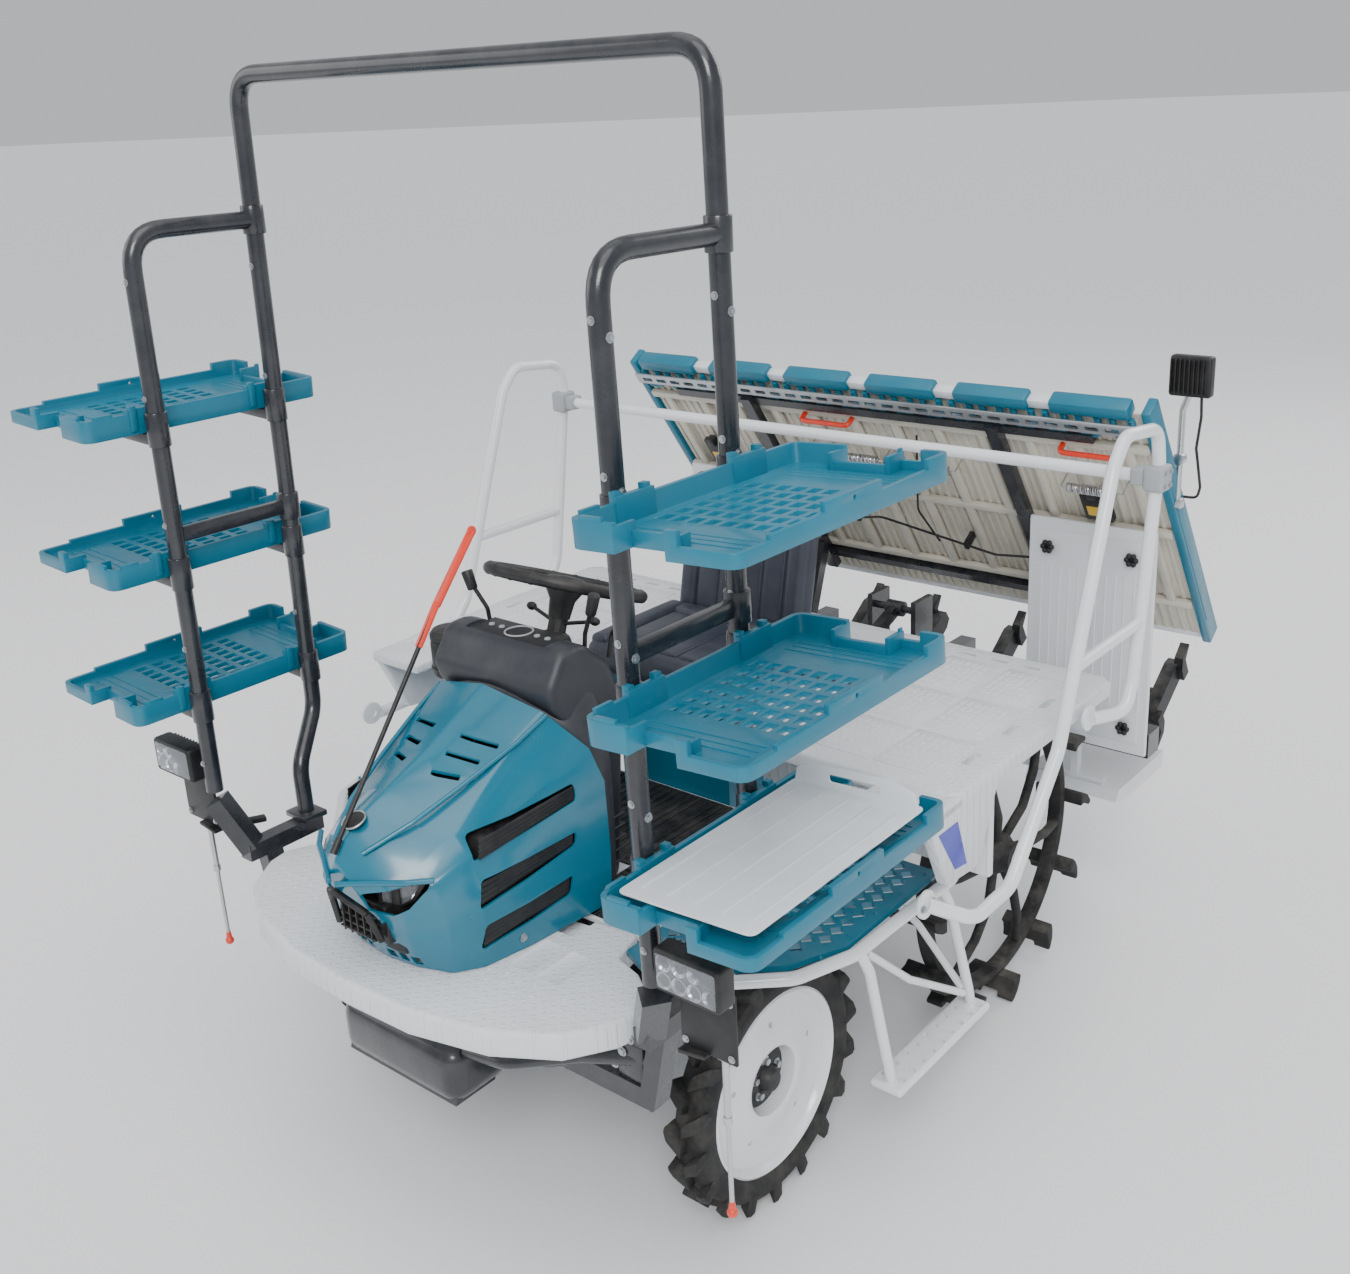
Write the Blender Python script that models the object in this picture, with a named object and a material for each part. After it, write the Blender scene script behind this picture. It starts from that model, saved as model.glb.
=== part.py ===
"""Six-row riding rice transplanter, modelled as separate pieces that move on their real joints.

Units are metres, +Z is up and the machine faces -Y, so its own left side is at +X.
Every place below is given in the machine's frame: the front axle is at y = 0 and the
ground at z = 0. The empty "machine" carries that frame to its place in the world.
"""

from math import cos, pi, radians, sin, tan

import bmesh
import bpy
from mathutils import Matrix, Vector

# ---------------------------------------------------------------- driving dimensions
FRONT_AXLE_Y = -0.721          # world place of the front axle, so the whole is centred
GAP = 0.0003                   # clearance between pieces that touch

LANES = 6
LANE_PITCH = 0.300

WHEELBASE = 1.050
FRONT_WHEEL_D = 0.650
FRONT_WHEEL_IN_X = 0.568       # inner and outer faces of the front tyre
FRONT_WHEEL_OUT_X = 0.664
FRONT_DISC_R = 0.233
FRONT_HUB_R = 0.081
FRONT_BOSS_R = 0.036
KINGPIN_X = 0.490
KINGPIN_R = 0.0125
FRONT_SHAFT_R = 0.020
REAR_SHAFT_R = 0.022
REAR_SHAFT_END = 0.650
REAR_WHEEL_D = 0.950
REAR_WHEEL_X = 0.667           # middle plane of the rear wheel
REAR_PADDLE_W = 0.160
REAR_PADDLES = 12

RAIL_X = 0.200                 # chassis side rails
RAIL_W = 0.060
RAIL_BOTTOM = 0.530
RAIL_TOP = 0.600
RAIL_FRONT_Y = -0.500
RAIL_REAR_Y = 1.120

APRON_HALF_W = 0.620
APRON_FRONT_Y = -0.720
APRON_TOP = 0.760
APRON_DEPTH = 0.070
APRON_WALL = 0.022

HOOD_BASE_Z = APRON_TOP + GAP
HOOD_WALL = 0.008
HOOD_HINGE = (0.0, -0.618, 0.792)

FLOOR_HALF_W = 0.430
FLOOR_TOP = 0.752
FLOOR_T = 0.020
FLOOR_REAR_Y = 0.438

STEP_OUT_X = 0.850
STEP_TUBE_R = 0.016
STEP_REAR_Y = WHEELBASE - REAR_WHEEL_D / 2 - 0.015
STIRRUP_Z = 0.350
STIRRUP_FRONT_Y = 0.140
STIRRUP_REAR_Y = 0.520
STIRRUP_X = 0.885

DECK_TOP = 1.050
DECK_T = 0.045
DECK_HALF_W = 0.965
HANDRAIL_X = DECK_HALF_W + 0.085
DECK_FRONT_Y = 0.300
DECK_REAR_Y = 1.150
SEAT_WELL_HALF_W = 0.270
SEAT_WELL_REAR_Y = 0.830

SEAT_HALF_W = 0.235
SEAT_FRONT_Y = 0.330
SEAT_REAR_Y = 0.780
SEAT_BASE_TOP = 1.085
SEAT_CUSHION_T = 0.105
SEAT_BACK_TOP = 1.560
SEAT_BACK_T = 0.085

STEERING_CENTRE = (0.0, 0.062, 1.466)
STEERING_WHEEL_R = 0.190
STEERING_RIM_R = 0.0155
STEERING_POST_R = 0.024
STEERING_RAKE = 22.0           # degrees that the steering wheel's axis leans from upright

RAIL_TUBE_R = 0.0170           # handrail tube
HANDRAIL_TOP = 1.770
CROSSBAR_Z = 1.620

RACK_TUBE_R = 0.0215
RACK_FOOT_X = 0.748            # post centre at RACK_REF_Z
RACK_REF_Z = 1.160
RACK_LEAN = 0.020              # metres inward for each metre up
RACK_FRONT_Y = -0.520
RACK_REAR_Y = -0.194
RACK_TOP = 2.670
RACK_SIDE_TOP = 2.330
RACK_BEND_R = 0.085

TRAY_L = 0.647
TRAY_W = 0.3605
TRAY_FRONT_Y = -0.681
TRAY_IN_X = RACK_FOOT_X + RACK_TUBE_R + 0.004
TRAY_FLOOR = 0.012
TRAY_WALL = 0.012
TRAY_WALL_H = 0.052
TRAY_TILT = 3.3                # degrees, outer edge up
TRAY_HEIGHTS = {"low": 1.160, "mid": 1.514, "top": 1.874}

LAMP_SIZE = (0.165, 0.062, 0.095)
LAMP_CENTRE = (0.870, -0.535, 1.000)
MARKER_PIVOT = (0.890, -0.475, 0.790)
MARKER_BALL_Z = 0.410
CENTRE_MARKER_FOOT = (0.0, -0.6991, 1.0642)

# planting unit, in its raised place
LINK_FRONT_Y = 1.140
LINK_LOW_Z = 0.500
LINK_TOP_Z = 0.780
LINK_RUN = 0.440
LINK_RISE = 0.160
BEAM_Y = 1.660
BEAM_Z = 0.640
BEAM_SIDE = 0.080
BEAM_HALF_L = 0.880
CASE_REACH = 0.380
PIN_R = 0.012
TIE_R = 0.014
ROD_R = 0.012
CYLINDER_FOOT = (0.0, 0.860, 0.860)
CYLINDER_EYE = (0.0, LINK_FRONT_Y + LINK_RUN / 2, LINK_LOW_Z + LINK_RISE / 2)
FLOAT_BOTTOM = 0.370
FLOAT_T = 0.055

PLATFORM_TOP_Y = 1.370
PLATFORM_TOP_Z = 1.728
PLATFORM_BOTTOM_Y = 1.950
PLATFORM_BOTTOM_Z = 0.900
PLATFORM_T = 0.012
PLATFORM_RIB_H = 0.045
PLATFORM_SIDE_X = 0.920
PLATFORM_SIDE_T = 0.030
PLATFORM_SIDE_DROP = 0.012
STAY_HALF_L = 0.755

# ---------------------------------------------------------------- colours
TEAL = (0.012, 0.235, 0.315, 1.0)
WHITE = (0.78, 0.79, 0.79, 1.0)
CREAM = (0.72, 0.69, 0.60, 1.0)
BLACK = (0.012, 0.012, 0.013, 1.0)
FRAME_GREY = (0.035, 0.038, 0.045, 1.0)
DASH_GREY = (0.050, 0.052, 0.058, 1.0)
SEAT_BLUE = (0.045, 0.055, 0.075, 1.0)
STEEL = (0.55, 0.56, 0.57, 1.0)
ORANGE = (0.80, 0.075, 0.020, 1.0)
CAST = (0.18, 0.18, 0.18, 1.0)

for leftover in list(bpy.data.objects):
    bpy.data.objects.remove(leftover, do_unlink=True)

SCENE = bpy.context.scene.collection
FINISHES = {}
PIVOTS = {}


def finish(name, colour, roughness=0.5, metallic=0.0):
    """A plain Principled material."""
    material = bpy.data.materials.new(name)
    material.use_nodes = True
    shader = material.node_tree.nodes["Principled BSDF"]
    shader.inputs["Base Color"].default_value = colour
    shader.inputs["Roughness"].default_value = roughness
    shader.inputs["Metallic"].default_value = metallic
    FINISHES[name] = material


finish("teal_plastic", TEAL, 0.35)
finish("white_paint", WHITE, 0.35)
finish("cream_plastic", CREAM, 0.5)
finish("black_plastic", BLACK, 0.55)
finish("rack_paint", FRAME_GREY, 0.35, 0.2)
finish("dash_plastic", DASH_GREY, 0.6)
finish("seat_vinyl", SEAT_BLUE, 0.5)
finish("steel", STEEL, 0.35, 1.0)
finish("orange_plastic", ORANGE, 0.4)
finish("cast_metal", CAST, 0.55, 0.8)
finish("rubber", BLACK, 0.8)


# ---------------------------------------------------------------- shape helpers
def grown(bm):
    """The shape with its doubles merged and its faces pointing out."""
    bmesh.ops.remove_doubles(bm, verts=bm.verts, dist=1e-6)
    bmesh.ops.recalc_face_normals(bm, faces=bm.faces)
    return bm


def box(x, y, z):
    """A block between three pairs of limits."""
    bm = bmesh.new()
    size = Vector((x[1] - x[0], y[1] - y[0], z[1] - z[0]))
    middle = Vector((x[0] + x[1], y[0] + y[1], z[0] + z[1])) / 2
    matrix = Matrix.Translation(middle) @ Matrix.Diagonal((*size, 1.0))
    bmesh.ops.create_cube(bm, size=1.0, matrix=matrix)
    return grown(bm)


def along(start, end):
    """A matrix at the middle of two points whose Z runs from one to the other."""
    start, end = Vector(start), Vector(end)
    turn = (end - start).to_track_quat("Z", "Y")
    return Matrix.Translation((start + end) / 2) @ turn.to_matrix().to_4x4()


def beam(start, end, width, height):
    """A bar of rectangular section; width lies level where the bar isn't upright."""
    bm = bmesh.new()
    length = (Vector(end) - Vector(start)).length
    size = Matrix.Diagonal((width, height, length, 1.0))
    bmesh.ops.create_cube(bm, size=1.0, matrix=along(start, end) @ size)
    return grown(bm)


def rod(start, end, radius, sides=12, end_radius=None):
    """A round bar, or a cone where the end has a radius of its own."""
    bm = bmesh.new()
    bmesh.ops.create_cone(
        bm, cap_ends=True, segments=sides, radius1=radius,
        radius2=radius if end_radius is None else end_radius,
        depth=(Vector(end) - Vector(start)).length, matrix=along(start, end),
    )
    return grown(bm)


def ball(centre, radius, across=10, up=6):
    bm = bmesh.new()
    bmesh.ops.create_uvsphere(
        bm, u_segments=across, v_segments=up, radius=radius,
        matrix=Matrix.Translation(centre),
    )
    return grown(bm)


def prism(outline, axis, low, high):
    """An outline in the plane across an axis, extruded between two limits on it."""
    bm = bmesh.new()
    order = {"X": lambda a, b: (low, a, b), "Y": lambda a, b: (a, low, b), "Z": lambda a, b: (a, b, low)}
    corners = [bm.verts.new(order[axis](a, b)) for a, b in outline]
    face = bm.faces.new(corners)
    raised = bmesh.ops.extrude_face_region(bm, geom=[face])["geom"]
    shift = {"X": (high - low, 0, 0), "Y": (0, high - low, 0), "Z": (0, 0, high - low)}[axis]
    moved = [item for item in raised if isinstance(item, bmesh.types.BMVert)]
    bmesh.ops.translate(bm, verts=moved, vec=shift)
    return grown(bm)


def turned(profile, centre, axis, steps=24):
    """A closed profile of (radius, place along the axis) spun about an axis through centre."""
    bm = bmesh.new()
    side = Vector((0, 0, 1)) if axis != "Z" else Vector((1, 0, 0))
    spin_axis = Vector({"X": (1, 0, 0), "Y": (0, 1, 0), "Z": (0, 0, 1)}[axis])
    corners = [bm.verts.new(Vector(centre) + side * r + spin_axis * a) for r, a in profile]
    ring = list(zip(profile, corners))
    edges = [bm.edges.new((a, b)) for (p, a), (q, b) in zip(ring, ring[1:] + ring[:1]) if p[0] > 0 or q[0] > 0]
    bmesh.ops.spin(
        bm, geom=corners + edges, cent=centre, axis=spin_axis, angle=2 * pi, steps=steps,
    )
    bmesh.ops.remove_doubles(bm, verts=bm.verts, dist=1e-5)
    bmesh.ops.dissolve_degenerate(bm, dist=1e-6, edges=bm.edges)
    loose = [edge for edge in bm.edges if not edge.link_faces]
    bmesh.ops.delete(bm, geom=loose, context="EDGES")
    return grown(bm)


def rounded(points, radius, steps=4):
    """A path through points whose corners are replaced by arcs."""
    points = [Vector(p) for p in points]
    path = [points[0]]
    for before, corner, after in zip(points, points[1:], points[2:]):
        back, on = (before - corner).normalized(), (after - corner).normalized()
        half = back.angle(on) / 2
        reach = min(radius / max(0.05, tan(half)), 0.48 * (before - corner).length,
                    0.48 * (after - corner).length)
        first, last = corner + back * reach, corner + on * reach
        for i in range(steps + 1):
            t = i / steps
            path.append(first * (1 - t) ** 2 + corner * 2 * t * (1 - t) + last * t ** 2)
    return path + [points[-1]]


def tube(points, radius, bend=0.06, sides=10, steps=4, cyclic=False):
    """A round tube along a path, made by a bevelled curve with filled caps."""
    path = points if bend is None else rounded(points, bend, steps)
    curve = bpy.data.curves.new("path", "CURVE")
    curve.dimensions = "3D"
    curve.bevel_depth = radius
    curve.bevel_resolution = (sides - 4) // 2
    curve.use_fill_caps = not cyclic
    spline = curve.splines.new("POLY")
    spline.points.add(len(path) - 1)
    spline.use_cyclic_u = cyclic
    for point, place in zip(spline.points, path):
        point.co = (*place, 1.0)
    carrier = bpy.data.objects.new("path", curve)
    SCENE.objects.link(carrier)
    bpy.context.view_layer.update()
    shape = carrier.evaluated_get(bpy.context.evaluated_depsgraph_get())
    mesh = bpy.data.meshes.new_from_object(shape)
    bm = bmesh.new()
    bm.from_mesh(mesh)
    bpy.data.objects.remove(carrier, do_unlink=True)
    bpy.data.curves.remove(curve)
    bpy.data.meshes.remove(mesh)
    bmesh.ops.remove_doubles(bm, verts=bm.verts, dist=1e-5)
    return grown(bm)


def mirrored(bm):
    """A copy of a shape on the other side of the machine."""
    copy = bm.copy()
    bmesh.ops.scale(copy, vec=(-1, 1, 1), verts=copy.verts)
    bmesh.ops.reverse_faces(copy, faces=copy.faces)
    return grown(copy)


def both(shapes):
    """Shapes and their mirror images."""
    return list(shapes) + [mirrored(shape) for shape in shapes]


def bevelled(bm, width, segments=1, keep=lambda edge: True):
    """The chosen edges of a shape rounded over."""
    edges = [e for e in bm.edges if e.calc_face_angle(0) > radians(30) and keep(e)]
    bmesh.ops.bevel(
        bm, geom=edges, offset=width, segments=segments, profile=0.5, affect="EDGES",
        clamp_overlap=True,
    )
    return grown(bm)


def holder(bm, name):
    mesh = bpy.data.meshes.new(name)
    bm.to_mesh(mesh)
    return bpy.data.objects.new(name, mesh)


def joined(shapes, cuts=()):
    """One mesh: the first shape united with the rest, less the cuts, by Boolean modifiers."""
    base = holder(shapes[0], "base")
    SCENE.objects.link(base)
    helpers = []
    for group, operation in ((shapes[1:], "UNION"), (cuts, "DIFFERENCE")):
        if not group:
            continue
        collection = bpy.data.collections.new(operation.lower())
        SCENE.children.link(collection)
        for shape in group:
            helper = holder(shape, operation.lower())
            collection.objects.link(helper)
            helpers.append(helper)
        modifier = base.modifiers.new(operation.lower(), "BOOLEAN")
        modifier.operation = operation
        modifier.operand_type = "COLLECTION"
        modifier.collection = collection
        modifier.solver = "EXACT"
        modifier.use_self = operation == "UNION"
    bpy.context.view_layer.update()
    shape = base.evaluated_get(bpy.context.evaluated_depsgraph_get())
    mesh = bpy.data.meshes.new_from_object(shape)
    for helper in helpers + [base]:
        bpy.data.objects.remove(helper, do_unlink=True)
    for collection in [c for c in bpy.data.collections if not c.objects]:
        bpy.data.collections.remove(collection)
    return mesh


def piece(name, material, shapes, cuts=(), origin=(0, 0, 0), parent="machine", smooth=30.0):
    """A named sub-part: its mesh is measured from its origin, which a moving piece has on its axis."""
    if len(shapes) > 1 or cuts:
        mesh = joined(shapes, cuts)
    else:
        mesh = bpy.data.meshes.new(name)
        shapes[0].to_mesh(mesh)
    mesh.name = name
    mesh.transform(Matrix.Translation(-Vector(origin)))
    mesh.materials.clear()
    mesh.materials.append(FINISHES[material])
    mesh.shade_smooth()
    mesh.set_sharp_from_angle(angle=radians(smooth))
    made = bpy.data.objects.new(name, mesh)
    made.parent = bpy.data.objects[parent]
    made.location = Vector(origin) - PIVOTS[parent]
    SCENE.objects.link(made)
    PIVOTS[name] = Vector(origin)
    return made


def pair(name, material, shapes, cuts=(), origin=(0, 0, 0), parents=("machine", "machine"), smooth=30.0):
    """A left piece at +X and its mirror image on the right."""
    left = piece(f"{name}_left", material, shapes, cuts, origin, parents[0], smooth)
    copy = bmesh.new()
    copy.from_mesh(left.data)
    other = (-origin[0], origin[1], origin[2])
    bmesh.ops.translate(copy, verts=copy.verts, vec=origin)
    piece(f"{name}_right", material, [mirrored(copy)], (), other, parents[1], smooth)


machine = bpy.data.objects.new("machine", None)
machine.location = (0.0, FRONT_AXLE_Y, 0.0)
SCENE.objects.link(machine)
PIVOTS["machine"] = Vector((0, 0, 0))

FRONT_AXLE_Z = FRONT_WHEEL_D / 2
REAR_AXLE_Z = REAR_WHEEL_D / 2
RACK_CARRIER_X = 0.690
RACK_CARRIER_Z = 0.760


def post_x(z):
    """Distance of a rack post from the middle at a height."""
    return RACK_FOOT_X - RACK_LEAN * (z - RACK_REF_Z)


# ---------------------------------------------------------------- chassis and axles
def chassis_frame():
    rail = box((RAIL_X - RAIL_W / 2, RAIL_X + RAIL_W / 2), (RAIL_FRONT_Y, RAIL_REAR_Y), (RAIL_BOTTOM, RAIL_TOP))
    middle = (RAIL_BOTTOM + RAIL_TOP) / 2
    arm_y = -0.430
    arm = [
        beam((RAIL_X, arm_y, middle), (0.665, arm_y, middle), 0.050, 0.050),
        beam((0.648, arm_y, middle - 0.015), (RACK_CARRIER_X, arm_y, 0.745), 0.050, 0.044),
        beam((RACK_CARRIER_X, -0.500, RACK_CARRIER_Z), (RACK_CARRIER_X, -0.270, RACK_CARRIER_Z), 0.044, 0.044),
        beam((RACK_CARRIER_X, -0.475, 0.765), (post_x(0.93), RACK_FRONT_Y, 0.905), 0.060, 0.045),
    ]
    stay = [
        prism([(1.060, RAIL_BOTTOM), (1.150, 0.465), (1.175, 0.490), (1.175, 0.800), (1.120, 0.815),
               (1.060, 0.600)], "X", 0.090, 0.110),
        box((0.092, RAIL_X), (1.070, 1.110), (RAIL_BOTTOM + 0.010, RAIL_TOP - 0.010)),
        box((0.036, 0.050), (CYLINDER_FOOT[1] - 0.035, CYLINDER_FOOT[1] + 0.030),
            (RAIL_TOP - 0.030, CYLINDER_FOOT[2] + 0.028)),
    ]
    ties = [
        box((-RAIL_X, RAIL_X), (y, y + 0.050), (RAIL_BOTTOM + 0.015, RAIL_TOP - 0.010))
        for y in (-0.490, 0.250, CYLINDER_FOOT[1] - 0.025)
    ]
    bumper = prism([(-0.600, 0.430), (-0.480, 0.430), (-0.440, 0.530), (-0.480, 0.570), (-0.560, 0.570)],
                   "X", -0.190, 0.190)
    deck_posts = [
        box((0.215, 0.250), (y, y + 0.035), (RAIL_TOP - 0.020, DECK_TOP - DECK_T - GAP))
        for y in (0.870, 1.070)
    ]
    props = [
        box((RAIL_X - 0.02, 0.600), (0.395, 0.435), (RAIL_TOP - 0.030, RAIL_TOP + 0.010)),
        box((0.560, 0.595), (0.398, 0.432), (RAIL_TOP - 0.010, FLOOR_TOP - 0.016 - GAP)),
        box((0.195, 0.225), (-0.170, -0.135), (RAIL_TOP - 0.020, FLOOR_TOP - FLOOR_T - GAP)),
        box((0.192, 0.228), (-0.480, -0.440), (RAIL_TOP - 0.020, APRON_TOP - 0.025 - GAP)),
    ]
    pins = [rod((-0.112, LINK_FRONT_Y, z), (0.112, LINK_FRONT_Y, z), PIN_R) for z in (LINK_LOW_Z, LINK_TOP_Z)]
    foot = CYLINDER_FOOT
    pins.append(rod((-0.052, foot[1], foot[2]), (0.052, foot[1], foot[2]), PIN_R))
    shapes = both([rail] + arm + stay + deck_posts + props) + ties + [bumper] + pins
    piece("chassis_frame", "rack_paint", shapes)


def axles():
    case = [
        rod((-0.400, 0, 0.440), (0.400, 0, 0.440), 0.042, 12),
        ball((0, 0, 0.430), 0.085, 12, 8),
        box((-0.120, 0.120), (-0.045, 0.045), (0.430, RAIL_BOTTOM + 0.012)),
        box((-RAIL_X - 0.025, RAIL_X + 0.025), (-0.035, 0.035), (RAIL_BOTTOM - 0.025, RAIL_BOTTOM - GAP)),
    ]
    lugs = [box((0.365, KINGPIN_X + 0.030), (-0.030, 0.030), (z, z + 0.022)) for z in (0.385, 0.525)]
    web = box((0.365, 0.425), (-0.030, 0.030), (0.385, 0.547))
    piece("front_axle_case", "cast_metal", case + both(lugs + [web]),
          cuts=both([bore((KINGPIN_X, 0, 0.30), (KINGPIN_X, 0, 0.60), KINGPIN_R)]))
    rear = [
        box((-0.150, 0.150), (0.930, 1.055), (0.390, 0.490)),
        box((-RAIL_X - 0.025, RAIL_X + 0.025), (0.935, 0.995), (0.440, RAIL_BOTTOM - GAP)),
        rod((-0.560, WHEELBASE, REAR_AXLE_Z), (0.560, WHEELBASE, REAR_AXLE_Z), 0.044, 12),
        rod((-REAR_SHAFT_END, WHEELBASE, REAR_AXLE_Z), (REAR_SHAFT_END, WHEELBASE, REAR_AXLE_Z), REAR_SHAFT_R, 20),
        ball((0, WHEELBASE - 0.04, REAR_AXLE_Z - 0.035), 0.095, 12, 8),
        box((-0.110, 0.110), (0.150, 0.950), (0.400, 0.490)),
    ]
    piece("rear_transaxle", "cast_metal", rear)


def engine():
    block = bevelled(box((-0.150, 0.150), (-0.425, -0.180), (RAIL_TOP - 0.060, 0.985)), 0.015)
    mounts = both([box((0.10, RAIL_X - RAIL_W / 2 - GAP), (y, y + 0.04), (RAIL_BOTTOM + 0.03, RAIL_TOP - 0.02))
                   for y in (-0.40, -0.25)])
    piece("engine_block", "cast_metal", [block] + mounts)


# ---------------------------------------------------------------- wheels and steering
def knuckles_and_front_wheels():
    pin = rod((KINGPIN_X, 0, 0.355), (KINGPIN_X, 0, 0.560), KINGPIN_R)
    cap = rod((KINGPIN_X, 0, 0.553), (KINGPIN_X, 0, 0.585), 0.030)
    case = rod((KINGPIN_X, 0, FRONT_AXLE_Z - 0.050), (KINGPIN_X, 0, 0.3845), 0.044)
    stub = rod((KINGPIN_X, 0, FRONT_AXLE_Z), (FRONT_WHEEL_IN_X + 0.030, 0, FRONT_AXLE_Z), FRONT_SHAFT_R)
    arm = beam((KINGPIN_X, 0, 0.572), (KINGPIN_X - 0.020, 0.120, 0.572), 0.030, 0.014)
    pair("knuckle", "cast_metal", [case, pin, cap, stub, arm], origin=(KINGPIN_X, 0, FRONT_AXLE_Z))

    middle = (FRONT_WHEEL_IN_X + FRONT_WHEEL_OUT_X) / 2
    half = (FRONT_WHEEL_OUT_X - FRONT_WHEEL_IN_X) / 2
    outer = FRONT_WHEEL_D / 2
    bead = FRONT_DISC_R + 0.004
    tyre = turned(
        [(bead, -half + 0.012), (bead + 0.020, -half), (outer - 0.020, -half + 0.002), (outer, -half + 0.020),
         (outer, half - 0.020), (outer - 0.020, half - 0.002), (bead + 0.020, half), (bead, half - 0.012)],
        (middle, 0, FRONT_AXLE_Z), "X", 28)
    pair("front_tyre", "rubber", [tyre], origin=(middle, 0, FRONT_AXLE_Z), parents=("knuckle_left", "knuckle_right"))
    rim = bead - GAP / cos(pi / 28)
    bore_r, bore_end = (FRONT_SHAFT_R + GAP) / cos(pi / 28), -half + 0.030 + GAP
    disc = turned(
        [(0.0, half - 0.030), (FRONT_BOSS_R, half - 0.030), (FRONT_BOSS_R, half - 0.040), (FRONT_HUB_R, half - 0.040),
         (FRONT_HUB_R + 0.005, half - 0.004), (rim, half - 0.008), (rim, -half + 0.014), (rim - 0.010, -half + 0.014),
         (rim - 0.014, half - 0.020), (FRONT_HUB_R + 0.012, half - 0.016), (FRONT_HUB_R + 0.008, half - 0.052),
         (FRONT_BOSS_R, half - 0.052), (FRONT_BOSS_R, -half + 0.006), (bore_r, -half + 0.006), (bore_r, bore_end),
         (0.0, bore_end)],
        (middle, 0, FRONT_AXLE_Z), "X", 28)
    pair("front_disc", "white_paint", [disc], origin=(middle, 0, FRONT_AXLE_Z),
         parents=("knuckle_left", "knuckle_right"))


def rear_wheels():
    centre = (REAR_WHEEL_X, WHEELBASE, REAR_AXLE_Z)
    outer = REAR_WHEEL_D / 2
    rim_r = outer - 0.070
    rim = turned([(rim_r - 0.016, -0.016), (rim_r + 0.016, -0.016), (rim_r + 0.016, 0.016), (rim_r - 0.016, 0.016)],
                 centre, "X", 24)
    hub = rod((REAR_WHEEL_X - 0.048, WHEELBASE, REAR_AXLE_Z), (REAR_WHEEL_X + 0.030, WHEELBASE, REAR_AXLE_Z),
              0.060, 14)
    shapes = [rim, hub]
    place = Matrix.Translation(centre)
    for i in range(REAR_PADDLES):
        turn = place @ Matrix.Rotation(2 * pi * i / REAR_PADDLES, 4, "X")
        paddle = prism([(-0.016, rim_r - 0.010), (0.016, rim_r - 0.010), (0.010, outer), (-0.030, outer - 0.004)],
                       "X", -REAR_PADDLE_W / 2, REAR_PADDLE_W / 2)
        bmesh.ops.transform(paddle, matrix=turn, verts=paddle.verts)
        shapes.append(paddle)
    for i in range(6):
        turn = place @ Matrix.Rotation(2 * pi * (i + 0.5) / 6, 4, "X")
        spoke = rod((0, 0, 0.040), (0, 0, rim_r), 0.013, 6)
        bmesh.ops.transform(spoke, matrix=turn, verts=spoke.verts)
        shapes.append(spoke)
    hole = bore((REAR_WHEEL_X - 0.060, WHEELBASE, REAR_AXLE_Z), (REAR_SHAFT_END + GAP, WHEELBASE, REAR_AXLE_Z),
                REAR_SHAFT_R, 20)
    pair("rear_wheel", "rubber", shapes, cuts=[hole], origin=centre)


def steering():
    axis = steering_axis()
    centre = Vector(STEERING_CENTRE)
    post = [rod(centre + axis * 0.062, centre + axis * 0.480, STEERING_POST_R)]
    piece("steering_column", "black_plastic", post)
    turn = Matrix.Translation(centre) @ axis.to_track_quat("Z", "Y").to_matrix().to_4x4()
    rim = turned([(STEERING_WHEEL_R + STEERING_RIM_R * cos(2 * pi * k / 6), STEERING_RIM_R * sin(2 * pi * k / 6))
                  for k in range(6)], (0, 0, 0), "Z", 24)
    hub = rod((0, 0, -0.012), (0, 0, 0.062 - GAP), 0.040, 12, 0.032)
    spokes = []
    for angle in (90, 210, 330):
        out = Vector((cos(radians(angle)), sin(radians(angle)), 0))
        spokes.append(beam(out * 0.020 + Vector((0, 0, 0.020)), out * STEERING_WHEEL_R, 0.014, 0.034))
    shapes = [rim, hub] + spokes
    for shape in shapes:
        bmesh.ops.transform(shape, matrix=turn, verts=shape.verts)
    piece("steering_wheel", "black_plastic", shapes, origin=STEERING_CENTRE)


# ---------------------------------------------------------------- body panels
def apron_outline(inset=0.0):
    """Plan outline of the front apron, right round from its rear left corner."""
    half = [(0.0, APRON_FRONT_Y + inset), (0.20, APRON_FRONT_Y + 0.008 + inset),
            (0.40, APRON_FRONT_Y + 0.055 + inset), (0.54, APRON_FRONT_Y + 0.135 + inset),
            (APRON_HALF_W - 0.012 - inset, -0.485), (APRON_HALF_W - inset, -0.430),
            (APRON_HALF_W - 0.030 - inset, -0.365 - inset), (0.520 - inset, -0.318 - inset),
            (0.440 - inset, -0.295 - inset), (0.415 - inset, -0.200 - inset)]
    return half + [(-x, y) for x, y in reversed(half[1:])]


def front_apron():
    slab = prism(apron_outline(), "Z", APRON_TOP - APRON_DEPTH, APRON_TOP)
    slab = bevelled(slab, 0.014, 2, lambda e: all(v.co.z > APRON_TOP - 0.001 for v in e.verts)
                    and min(v.co.y for v in e.verts) < -0.205)
    pocket = prism(apron_outline(APRON_WALL), "Z", APRON_TOP - APRON_DEPTH - 0.010, APRON_TOP - 0.025)
    well = box((-0.190, 0.190), (-0.530, -0.100), (0.600, 0.900))
    piece("front_apron", "white_paint", [slab], cuts=[pocket, well])


def foot_floor():
    plate = box((-FLOOR_HALF_W, FLOOR_HALF_W), (-0.198, FLOOR_REAR_Y), (FLOOR_TOP - FLOOR_T, FLOOR_TOP))
    well = box((-0.190, 0.190), (-0.300, -0.080), (0.600, 0.900))
    piece("foot_floor", "black_plastic", [plate], cuts=[well])


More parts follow.
